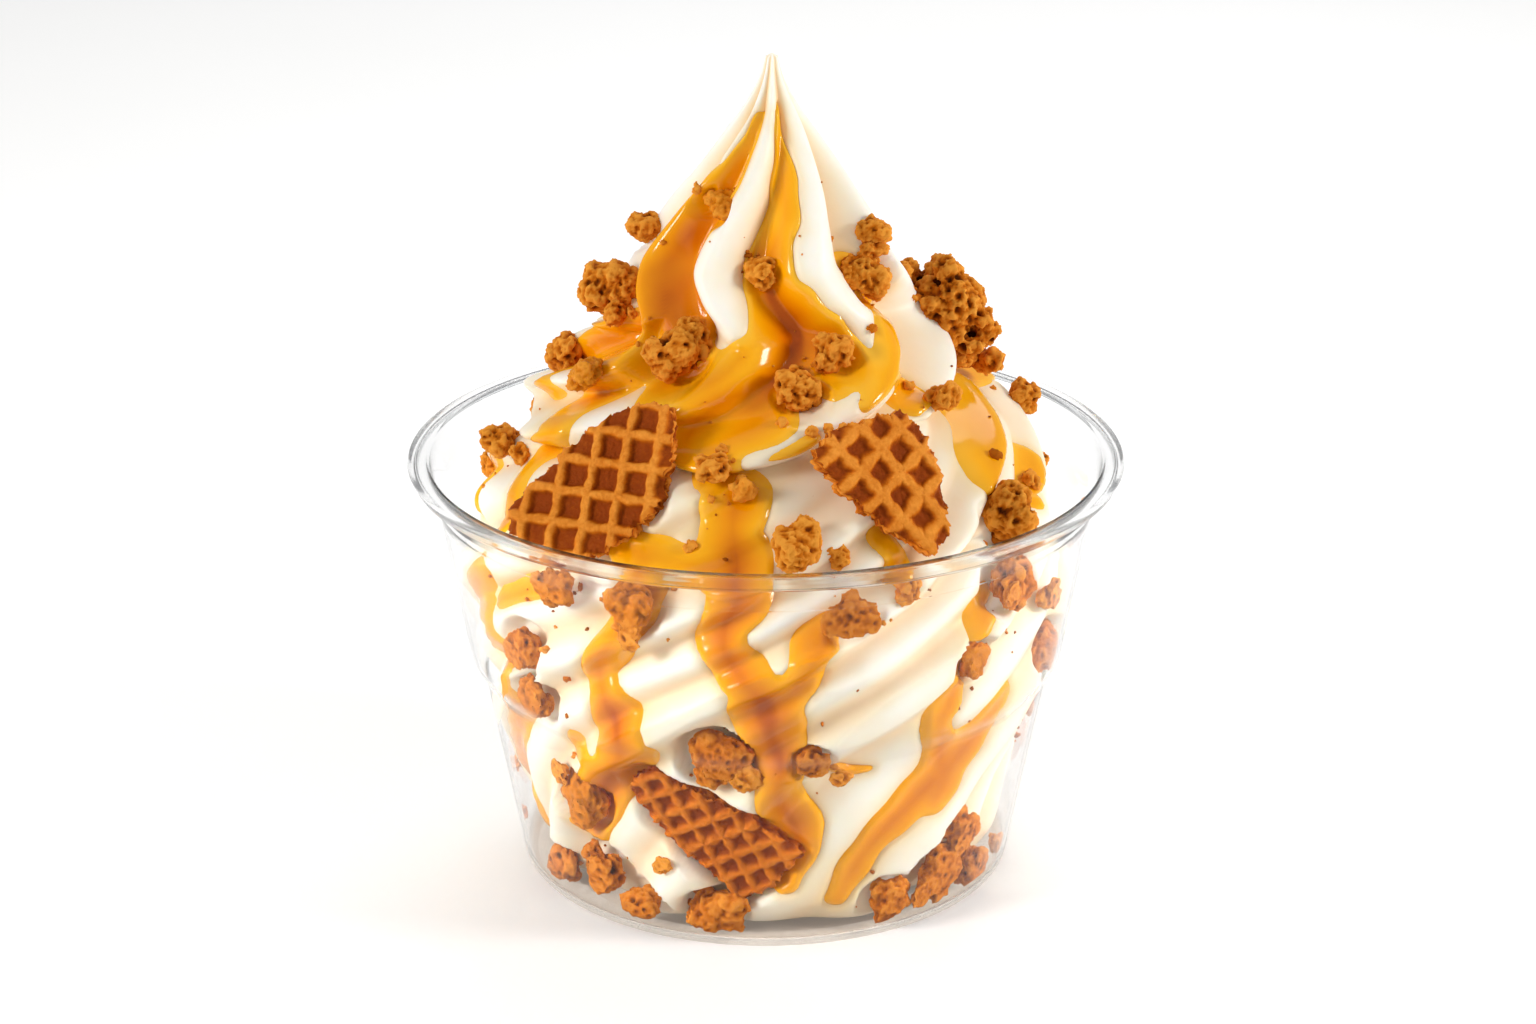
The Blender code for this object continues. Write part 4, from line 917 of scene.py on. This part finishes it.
def make_crumb(node, seed, material, lobes=LOBES, pit=PIT):
    centre, reach = node_reach(node)
    low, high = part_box(node)
    size = 0.5 * float(np.prod(np.array(high - low) / MM)) ** (1.0 / 3.0)
    voxel = VOXEL_FAR if "back" in node else VOXEL
    points, faces, relief = craggy_mesh(reach, size, seed, voxel, lobes, pit)
    points = rest_in_cup(points + centre)
    # Painted shade: a crumb inside the cup is coloured darker.
    if centre[2] < PRESSED_BELOW:
        relief = IN_CUP_PAINTED_SHADE * relief
    glaze = np.full(len(points), GLAZED.get(node, USUAL_GLAZE))
    piece = add_mesh(node + "_crust", points, faces, material, relief=relief, glaze=glaze)
    finish_piece(piece, "biscuit", node)


def on_swirl(fields, azimuth, height, out):
    """Point at a distance outside the swirl's surface, by the radius on the grid."""
    rows, columns = fields["outer"].shape
    column = int(round((azimuth + 180.0) / 360.0 * columns)) % columns
    level = (height - CREAM_BOTTOM) / (TIP_HEIGHT - END_DROP - CREAM_BOTTOM)
    row = int(round(np.clip(level, 0.0, 1.0) * (rows - 1)))
    return swirl_point(azimuth, height, float(fields["outer"][row, column]) + out)


def small_crumb_places():
    """Azimuth, height and width of the crumbs that are too small for a solid."""
    seen = [(*seen_place(column, row, wetted_level), width) for column, row, width in SEEN_SMALL_CRUMBS]
    return seen + list(FAR_SMALL_CRUMBS)


def dust_places():
    """Azimuth, height and size of the broken grains round the crumbs."""
    rng = np.random.default_rng(DUST_SEEDS[0])
    places = []
    for _ in range(DUST):
        azimuth, height, _, width = CRUMBS[rng.integers(0, len(CRUMBS))]
        scatter = rng.normal(0.0, DUST_SCATTER * width, 2)
        size = DUST_SIZE[0] + DUST_SIZE[1] * rng.exponential()
        height = float(np.clip(height + scatter[1], *DUST_HEIGHTS))
        radius = max(float(curve(CORE, height)), DUST_CORE)
        places.append((azimuth + np.degrees(scatter[0] / radius), height, size))
    return places


def make_small_crumbs(fields, material):
    """Crumbs too small for a solid, and the grains of broken biscuit round the large ones."""
    lumps = []
    for index, (azimuth, height, width) in enumerate(small_crumb_places()):
        size = 0.5 * width
        seed = SMALL_SEED + index
        local, faces, relief = craggy_mesh(lambda _: size, size, seed, VOXEL_SMALL, SMALL_LOBES)
        points = on_swirl(fields, azimuth, height, SMALL_OUT * width) + local
        lumps.append((rest_in_cup(points), faces, relief))
    rng = np.random.default_rng(DUST_SEEDS[1])
    directions, faces = sphere_mesh(2)
    for azimuth, height, size in dust_places():
        dents = size * rng.uniform(*DUST_DENTS, (len(directions), 1))
        shape = directions * dents * rng.uniform(*DUST_STRETCH, 3)
        relief = np.full(len(shape), rng.uniform(*DUST_RELIEF))
        lumps.append((on_swirl(fields, azimuth, height, DUST_OUT * size) + shape, faces, relief))
    starts = np.cumsum([0] + [len(points) for points, _, _ in lumps])
    all_faces = [tuple(corner + start for corner in face)
                 for start, (_, faces, _) in zip(starts.tolist(), lumps) for face in faces]
    points = hold_in_cup(np.vstack([points for points, _, _ in lumps]))
    relief = np.concatenate([values for _, _, values in lumps])
    glaze = np.full(len(points), SMALL_GLAZE)
    piece = add_mesh("small_crumbs", points, all_faces, material, relief=relief, glaze=glaze)
    finish_piece(piece, "biscuit")


def even_outline(outline, count):
    """Outline resampled at even spacing, with its corners slightly rounded."""
    corners = np.array(outline + outline[:1], float)
    lengths = np.hypot(*np.diff(corners, axis=0).T)
    along = np.concatenate(((0.0,), np.cumsum(lengths)))
    places = np.linspace(0.0, along[-1], count, endpoint=False)
    points = np.stack([np.interp(places, along, line) for line in corners.T], -1)
    for _ in range(OUTLINE_ROUNDS):
        points = 0.25 * np.roll(points, 1, 0) + 0.5 * points + 0.25 * np.roll(points, -1, 0)
    return points


def noise_at(points, scale, offset=0.0):
    return np.array([noise.noise(Vector(tuple(point * scale + offset))) for point in points])


def at_level(flat, level):
    """Points of a plane at a level."""
    return np.column_stack((flat, np.full(len(flat), level)))


def waffle_relief(x, y, spin, pitch, crossing, relief):
    """Height of the ribbed face under its ribs' tops, and 1 on ribs to 0 in the cells."""
    rib, soft, recess, wobble = relief
    angle = np.radians(spin)
    across = x - crossing[0]
    along = y - crossing[1]
    u = (across * np.cos(angle) + along * np.sin(angle)) / pitch
    v = (along * np.cos(angle) - across * np.sin(angle)) / pitch
    nearest = np.minimum(np.abs(u - np.round(u)), np.abs(v - np.round(v))) * pitch
    from_rib = nearest + wobble * waves(x, y, RIB_WAVES)
    cell = smooth_step((from_rib - RIB_TOP * rib) / soft)
    crown = RIB_CROWN * np.clip(1.0 - (from_rib / (0.5 * rib)) ** 2, 0.0, 1.0)
    return crown - recess * cell, 1.0 - cell


def torn_edge(outline, seed):
    """Ragged closed edge, its middle and the directions from the middle."""
    edge = even_outline(outline, WAFFLE_ROUND)
    middle = edge.mean(axis=0)
    away = edge - middle
    unit = away / np.linalg.norm(away, axis=1)[:, None]
    tear = sum(size * noise_at(at_level(edge, seed), scale) for size, scale in TEARS)
    return edge + unit * (tear - TEAR_MEAN)[:, None], middle, unit


def make_waffle(name, place, look, spin, pitch, crossing, outline, material):
    """Broken piece of thin waffle: ribbed face, torn edge with its open crumb, plain back."""
    edge, middle, unit = torn_edge(outline, place[0])
    half = 0.5 * WAFFLE_THICKNESS
    grid = (spin, pitch, crossing, WAFFLE_RELIEF[name])
    rows = []
    values = []
    for ring in range(1, WAFFLE_RINGS + 1):
        share = ring / WAFFLE_RINGS
        flat = middle + share * (edge - middle)
        relief, rib = waffle_relief(flat[:, 0], flat[:, 1], *grid)
        to_edge = (1.0 - share) * np.linalg.norm(edge - middle, axis=1)
        worn = WORN[0] * smooth_step(1.0 - to_edge / WORN[1])
        grain = sum(size * noise_at(at_level(flat, level), scale) for size, scale, level in FACE_GRAIN)
        rows.append(np.column_stack((flat, half + relief - worn + grain)))
        # Ribs and raised grain lighter, cells darker: partly the baked colour, partly painted light and
        # shade.
        values.append(np.clip(rib * FACE_TONE[0] + FACE_TONE[1] * grain, 0.0, 1.0))
    top_edge = rows[-1][:, 2]
    for step in range(1, WAFFLE_SIDE_STEPS):
        share = step / WAFFLE_SIDE_STEPS
        level = top_edge + share * (-half - top_edge)
        spot = np.column_stack((edge, level * EDGE_SQUEEZE))
        open_crumb = sum(size * noise_at(spot, scale, start) for size, scale, start in EDGE_CRUMB)
        bulge = EDGE_BULGE[0] * open_crumb - EDGE_BULGE[1] * np.sin(np.pi * share)
        rows.append(np.column_stack((edge + unit * bulge[:, None], level)))
        # The edge's own darker tone, with painted shade in the hollows of its open crumb and painted light
        # on its bulges.
        values.append(np.clip(EDGE_TONE[0] + EDGE_TONE[1] * open_crumb, 0.0, 1.0))
    for ring in range(WAFFLE_BACK_RINGS, 0, -1):
        rows.append(at_level(middle + ring / WAFFLE_BACK_RINGS * (edge - middle), -half))
        values.append(np.full(len(edge), BACK_TONE))
    centre_relief, centre_rib = waffle_relief(middle[0], middle[1], *grid)
    local = np.vstack((*rows, (*middle, half + float(centre_relief)), (*middle, -half)))
    relief = np.append(np.concatenate(values), (float(centre_rib), BACK_TONE))
    centre, right, up, outward = waffle_frame(place, look)
    points = hold_in_cup(centre + local[:, :1] * right + local[:, 1:2] * up + local[:, 2:] * outward)
    faces = capped_faces(len(rows), WAFFLE_ROUND)
    turned = np.sum(edge[:, 0] * np.roll(edge[:, 1], -1) - np.roll(edge[:, 0], -1) * edge[:, 1])
    if turned > 0.0:
        faces = [face[::-1] for face in faces]
    # Painted shade: a waffle piece inside the cup is coloured darker.
    if place[1] < PRESSED_BELOW:
        relief = IN_CUP_PAINTED_SHADE * relief
    piece = add_mesh(name + "_crust", points, faces, material, relief=relief)
    finish_piece(piece, "waffle", name)


def arc(centre, radius, start, end):
    """Points of an arc in a profile, by angle from the outward direction."""
    angles = np.radians(np.linspace(start, end, ARC_ROWS))
    return [(centre[0] + radius * np.cos(angle), centre[1] + radius * np.sin(angle)) for angle in angles]


def corner_arc(start, end, shares):
    """Corner in a profile, level at its start and upright at its end."""
    angles = 0.5 * np.pi * shares
    across = start[0] + (end[0] - start[0]) * np.sin(angles)
    upwards = start[1] + (end[1] - start[1]) * (1.0 - np.cos(angles))
    return list(zip(across, upwards))


def cup_profile():
    """Fine outline of the wall from the middle of the base, up outside and down inside."""
    heights = np.concatenate((np.arange(LOWER_ROWS[0], STEP_BOTTOM, LOWER_ROWS[1]),
                              np.linspace(STEP_BOTTOM, STEP_TOP, STEP_ROWS),
                              np.linspace(STEP_TOP, BEAD_HEIGHT, UPPER_ROWS)[1:]))
    outside = [(0.0, RECESS_DEPTH), (BASE_RADIUS - RECESS_START, RECESS_DEPTH),
               (BASE_RADIUS - FOOT_RING, 0.0), (BASE_RADIUS, 0.0)]
    corner = (cup_outside(BASE_CORNER), BASE_CORNER)
    outside += corner_arc((BASE_RADIUS, 0.0), corner, np.linspace(0.1, 1.0, 8))
    outside += [(cup_outside(height), height) for height in heights]
    bead = cup_outside(BEAD_HEIGHT)
    outside += [(bead + BEAD_DEPTH * share, BEAD_HEIGHT + BEAD_DEPTH * share) for share in BEAD_SHARES]
    under = RIM_HEIGHT - FLANGE_THICKNESS
    bottom = RIM_HEIGHT - SKIRT_DEPTH
    skirt = RIM_RADIUS - SKIRT_INSIDE
    rim = [(MOUTH_RADIUS + UNDER_MOUTH[0], under - UNDER_MOUTH[1]),
           (MOUTH_RADIUS + sum(UNDER_MOUTH), under), (skirt - UNDER_ROUND, under),
           (skirt, under - UNDER_ROUND), (skirt, bottom + SKIRT_END)]
    rim += arc((skirt + SKIRT_ROUND, bottom + SKIRT_ROUND), SKIRT_ROUND, 180.0, 360.0)
    rim += arc((RIM_RADIUS - RIM_ROUND, RIM_HEIGHT - RIM_ROUND), RIM_ROUND, 0.0, 90.0)
    rim += [(MOUTH_RADIUS + MOUTH_ROUND[0], RIM_HEIGHT), (MOUTH_RADIUS, RIM_HEIGHT - MOUTH_ROUND[1])]
    inside = [(bead + BEAD_DEPTH - WALL, BEAD_HEIGHT + BEAD_DEPTH)]
    inside += [(cup_outside(height) - WALL, height) for height in heights[::-1]]
    corner = (cup_outside(INNER_CORNER) - WALL, INNER_CORNER)
    inside += corner_arc((BASE_RADIUS - INNER_START, FLOOR), corner, np.linspace(1.0, 0.0, 6))
    inside += [(BASE_RADIUS - FLOOR_START, FLOOR), (0.0, FLOOR)]
    return outside + rim + inside


def make_cup(material):
    profile = cup_profile()
    radii, heights = np.repeat(np.array(profile[1:-1]), CUP_SEGMENTS, axis=0).T
    angles = np.tile(2.0 * np.pi * np.arange(CUP_SEGMENTS) / CUP_SEGMENTS, len(profile) - 2)
    points = np.stack((radii * np.cos(angles), radii * np.sin(angles), heights), -1)
    points = np.vstack((points, (0.0, 0.0, profile[0][1]), (0.0, 0.0, profile[-1][1])))
    heights = np.append(heights, (0.0, 0.0))
    radii = np.append(radii, (0.0, 0.0))
    skirt = RIM_HEIGHT - SKIRT_DEPTH
    flange = (heights > skirt - FLANGE_MARGIN) & (radii > MOUTH_RADIUS - FLANGE_MARGIN)
    # Painted shadow: the foot of the cup is tinted darker, standing in for the floor's shadow seen through
    # the base.
    foot = 1.0 - smooth_step((heights - FOOT_SHADOW_REACH * BASE_CORNER) / BASE_CORNER)
    faces = capped_faces(len(profile) - 2, CUP_SEGMENTS)
    piece = add_mesh("clear_cup", points, faces, material, flange=flange.astype(float), foot=foot)
    piece.data.set_sharp_from_angle(angle=np.radians(SHARP_ANGLE))
    finish_piece(piece, "clear_plastic", "cup")


# ---------------------------------------------------------------- materials

def tone(red, green, blue):
    """Linear colour from a display colour of 0 to 255."""
    return tuple((channel / 255.0) ** 2.2 for channel in (red, green, blue)) + (1.0,)


class Finish:
    """A Principled material with short calls for the nodes that feed it."""

    def __init__(self, name, **constants):
        self.material = bpy.data.materials.new(name)
        self.material.use_nodes = True
        self.tree = self.material.node_tree
        self.shader = self.tree.nodes["Principled BSDF"]
        self.output = self.tree.nodes["Material Output"]
        self.place = self.node("ShaderNodeTexCoord").outputs["Object"]
        for key, value in constants.items():
            self.shader.inputs[key.replace("_", " ")].default_value = value

    def node(self, kind, inputs=None, **settings):
        node = self.tree.nodes.new(kind)
        for key, value in settings.items():
            setattr(node, key, value)
        for key, value in (inputs or {}).items():
            if isinstance(value, bpy.types.NodeSocket):
                self.tree.links.new(value, node.inputs[key])
            else:
                node.inputs[key].default_value = value
        return node

    def feed(self, name, socket):
        self.tree.links.new(socket, self.shader.inputs[name])

    def value(self, name):
        return self.node("ShaderNodeAttribute", attribute_name=name).outputs["Fac"]

    def noise(self, scale, detail=4.0, roughness=0.55):
        inputs = {"Vector": self.place, "Scale": scale, "Detail": detail, "Roughness": roughness}
        return self.node("ShaderNodeTexNoise", inputs).outputs["Fac"]

    def math(self, operation, first, second, clamp=False):
        inputs = {0: first, 1: second}
        return self.node("ShaderNodeMath", inputs, operation=operation, use_clamp=clamp).outputs[0]

    def times(self, first, second, clamp=False):
        return self.math("MULTIPLY", first, second, clamp)

    def varied(self, name, *textures):
        """Value kept on the mesh, made uneven by noises about zero and held between 0 and 1."""
        total = self.value(name)
        for size, *texture in textures:
            centred = self.math("SUBTRACT", self.noise(*texture), 0.5)
            total = self.math("ADD", total, self.times(centred, size))
        return self.math("ADD", total, 0.0, clamp=True)

    def ramp(self, factor, *stops):
        """Colour ramp from (place, colour) stops."""
        node = self.node("ShaderNodeValToRGB", {"Fac": factor})
        elements = node.color_ramp.elements
        elements.remove(elements[1])
        elements[0].position = stops[0][0]
        elements[0].color = stops[0][1]
        for place, colour in stops[1:]:
            elements.new(place).color = colour
        return node.outputs["Color"]

    def mix(self, factor, first, second, blend="MIX"):
        """Mix of two colours, which a Mix node takes at its inputs 6 and 7 and gives at output 2."""
        inputs = {0: factor, 6: first, 7: second}
        return self.node("ShaderNodeMix", inputs, data_type="RGBA", blend_type=blend).outputs[2]

    def bump(self, strength, distance, *texture):
        inputs = {"Height": self.noise(*texture), "Strength": strength, "Distance": distance}
        self.feed("Normal", self.node("ShaderNodeBump", inputs).outputs["Normal"])


def cream_finish():
    finish = Finish("soft_cream", Roughness=0.38, Subsurface_Weight=0.35, Subsurface_Scale=0.003,
                    Subsurface_Radius=(1.0, 0.72, 0.48), IOR=1.38, Specular_IOR_Level=0.42)
    # Painted shade: the cream is coloured darker and warmer in its grooves, from the shade attribute.
    base = finish.ramp(finish.value("shade"), (0.0, tone(255, 251, 242)),
                       (0.45, tone(252, 240, 218)), (1.0, tone(245, 217, 178)))
    cloud = finish.ramp(finish.noise(90.0, 3.0), (0.35, tone(255, 255, 255)), (0.75, tone(251, 245, 234)))
    base = finish.mix(1.0, base, cloud, "MULTIPLY")
    # The cream near the sauce is tinted: partly the sauce's stain, partly painted shade beside the streams.
    sauce_stain_and_shade = finish.times(finish.math("POWER", finish.value("sauce_stain_and_shade"), 2.2), 0.38)
    finish.feed("Base Color", finish.mix(sauce_stain_and_shade, base, tone(250, 205, 120)))
    finish.bump(0.10, 0.0002, 1400.0, 3.0)
    return finish.material


def sauce_finish():
    finish = Finish("caramel", Roughness=0.12, Subsurface_Weight=0.05, Subsurface_Scale=0.0015,
                    Subsurface_Radius=(1.0, 0.5, 0.08), IOR=1.34, Coat_Weight=0.12, Coat_Roughness=0.04)
    colour = finish.ramp(finish.varied("depth", (0.3, 120.0, 2.0)), (0.0, tone(252, 190, 56)),
                         (0.20, tone(249, 172, 20)), (0.5, tone(238, 148, 4)),
                         (0.8, tone(216, 117, 0)), (1.0, tone(182, 86, 0)))
    finish.feed("Base Color", colour)
    finish.bump(0.05, 0.0006, 260.0, 2.0)
    return finish.material


def biscuit_finish():
    finish = Finish("biscuit_crumb", IOR=1.35, Specular_IOR_Level=0.15)
    # The relief attribute carries painted light on knobs and painted shade in pits; the noises add uneven
    # tone.
    level = finish.varied("relief", (0.45, 900.0, 4.0), (0.45, 260.0, 2.0))
    colour = finish.ramp(level, (0.0, tone(60, 17, 0)), (0.25, tone(130, 60, 4)),
                         (0.55, tone(196, 105, 19)), (1.0, tone(236, 156, 60)))
    wet = finish.times(finish.value("glaze"), finish.times(finish.noise(230.0, 2.0), 1.9), clamp=True)
    wet = finish.times(wet, 0.55)
    finish.feed("Base Color", finish.mix(wet, colour, tone(222, 134, 18)))
    finish.feed("Roughness", finish.math("SUBTRACT", 0.78, wet))
    finish.bump(0.8, 0.0003, 1700.0, 4.0, 0.65)
    return finish.material


def waffle_finish():
    finish = Finish("crisp_waffle", IOR=1.35, Specular_IOR_Level=0.15)
    # The relief attribute mixes the baked colour with painted shade in the cells and edge hollows; the
    # noises add uneven tone.
    level = finish.varied("relief", (0.6, 1300.0, 5.0, 0.7), (0.35, 170.0, 2.0))
    colour = finish.ramp(level, (0.0, tone(146, 64, 14)), (0.3, tone(170, 82, 18)),
                         (0.6, tone(206, 110, 24)), (1.0, tone(240, 152, 58)))
    finish.feed("Base Color", colour)
    rough = finish.ramp(finish.noise(700.0), (0.3, (0.42, 0.42, 0.42, 1.0)), (0.7, (0.68, 0.68, 0.68, 1.0)))
    finish.feed("Roughness", rough)
    finish.bump(0.8, 0.0003, 1900.0, 5.0, 0.7)
    return finish.material


def plastic_finish():
    """Clear thin plastic that lets the lamps through."""
    finish = Finish("clear_plastic", IOR=1.16, Specular_IOR_Level=0.4, Transmission_Weight=1.0,
                    Coat_Weight=0.08, Coat_Roughness=0.02)
    haze = finish.ramp(finish.noise(60.0, 2.0), (0.3, tone(252, 252, 252)), (0.7, tone(248, 249, 250)))
    # Painted shadow: brownish grey at the foot of the cup.
    haze = finish.mix(finish.value("foot"), haze, tone(214, 203, 192))
    finish.feed("Base Color", haze)
    finish.feed("Roughness", finish.math("ADD", 0.02, finish.times(finish.value("flange"), 0.12)))
    finish.bump(0.03, 0.001, 45.0, 1.0)
    path = finish.node("ShaderNodeLightPath")
    clear = finish.node("ShaderNodeBsdfTransparent", {"Color": (0.95, 0.955, 0.96, 1.0)})
    both = finish.node("ShaderNodeMixShader", {"Fac": path.outputs["Is Shadow Ray"]})
    finish.tree.links.new(finish.shader.outputs["BSDF"], both.inputs[1])
    finish.tree.links.new(clear.outputs["BSDF"], both.inputs[2])
    finish.tree.links.new(both.outputs["Shader"], finish.output.inputs["Surface"])
    return finish.material


def floor_finish():
    finish = Finish("pale_floor", Roughness=0.65, Specular_IOR_Level=0.2,
                    Emission_Color=(1.0, 1.0, 1.0, 1.0), Emission_Strength=0.20)
    mottle = finish.ramp(finish.noise(6.0, 3.0), (0.3, tone(250, 250, 250)), (0.7, tone(248, 248, 247)))
    finish.feed("Base Color", mottle)
    return finish.material


# ---------------------------------------------------------------- stage

def make_floor():
    mesh = bpy.data.meshes.new("floor")
    corners = [(FLOOR_REACH * x, FLOOR_REACH * y, 0.0) for x, y in ((-1, -1), (1, -1), (1, 1), (-1, 1))]
    mesh.from_pydata(corners, [], [(0, 1, 2, 3)])
    mesh.materials.append(floor_finish())
    add_item("floor", mesh)


def aim(item, direction):
    """Turn a lamp or a camera, which look along their own -Z, along a direction."""
    item.rotation_euler = direction.to_track_quat("-Z", "Y").to_euler()


def make_lamps():
    for name, location, size, energy, colour in LAMPS:
        lamp = bpy.data.lights.new(name, "AREA")
        lamp.shape = "DISK"
        lamp.size = size
        lamp.energy = energy
        lamp.color = colour
        item = add_item(name, lamp)
        item.location = location
        aim(item, Vector(LAMP_AIM) - Vector(location))


def make_sky():
    """Soft surroundings that brighten upwards."""
    world = bpy.data.worlds.new("studio")
    world.use_nodes = True
    tree = world.node_tree
    background = tree.nodes["Background"]
    place = tree.nodes.new("ShaderNodeTexCoord")
    split = tree.nodes.new("ShaderNodeSeparateXYZ")
    ramp = tree.nodes.new("ShaderNodeValToRGB")
    tree.links.new(place.outputs["Generated"], split.inputs[0])
    tree.links.new(split.outputs["Z"], ramp.inputs["Fac"])
    low, high = ramp.color_ramp.elements
    low.color = SKY_LOW
    high.color = SKY_HIGH
    high.position = SKY_FULL
    tree.links.new(ramp.outputs["Color"], background.inputs["Color"])
    background.inputs["Strength"].default_value = SKY_STRENGTH
    bpy.context.scene.world = world


def make_camera():
    rise = np.radians(VIEW_ELEVATION)
    forward = Vector((0.0, np.cos(rise), -np.sin(rise)))
    camera = bpy.data.cameras.new("camera")
    camera.sensor_width = SENSOR_WIDTH
    camera.lens = VIEW_FOCUS * SENSOR_WIDTH / VIEW_SIZE[0]
    item = add_item("camera", camera)
    item.location = (Vector(VIEW_TARGET) - VIEW_DISTANCE * forward) * MM
    aim(item, forward)
    bpy.context.scene.camera = item


def main():
    fields = swirl_fields()
    make_cream(fields, cream_finish())
    make_sauce(fields, sauce_finish())
    biscuit = biscuit_finish()
    nodes = sorted(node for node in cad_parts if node.startswith("crumb_"))
    for index, node in enumerate(nodes):
        make_crumb(node, CRUMB_SEED + index, biscuit)
    make_crumb("wafer_chunk", CHUNK_SEED, biscuit, CHUNK_LOBES, CHUNK_PIT)
    make_small_crumbs(fields, biscuit)
    crisp = waffle_finish()
    for piece in WAFFLES:
        make_waffle(*piece, crisp)
    make_cup(plastic_finish())
    make_floor()
    make_sky()
    make_lamps()
    make_camera()
    bpy.context.scene.view_settings.view_transform = "Standard"


main()
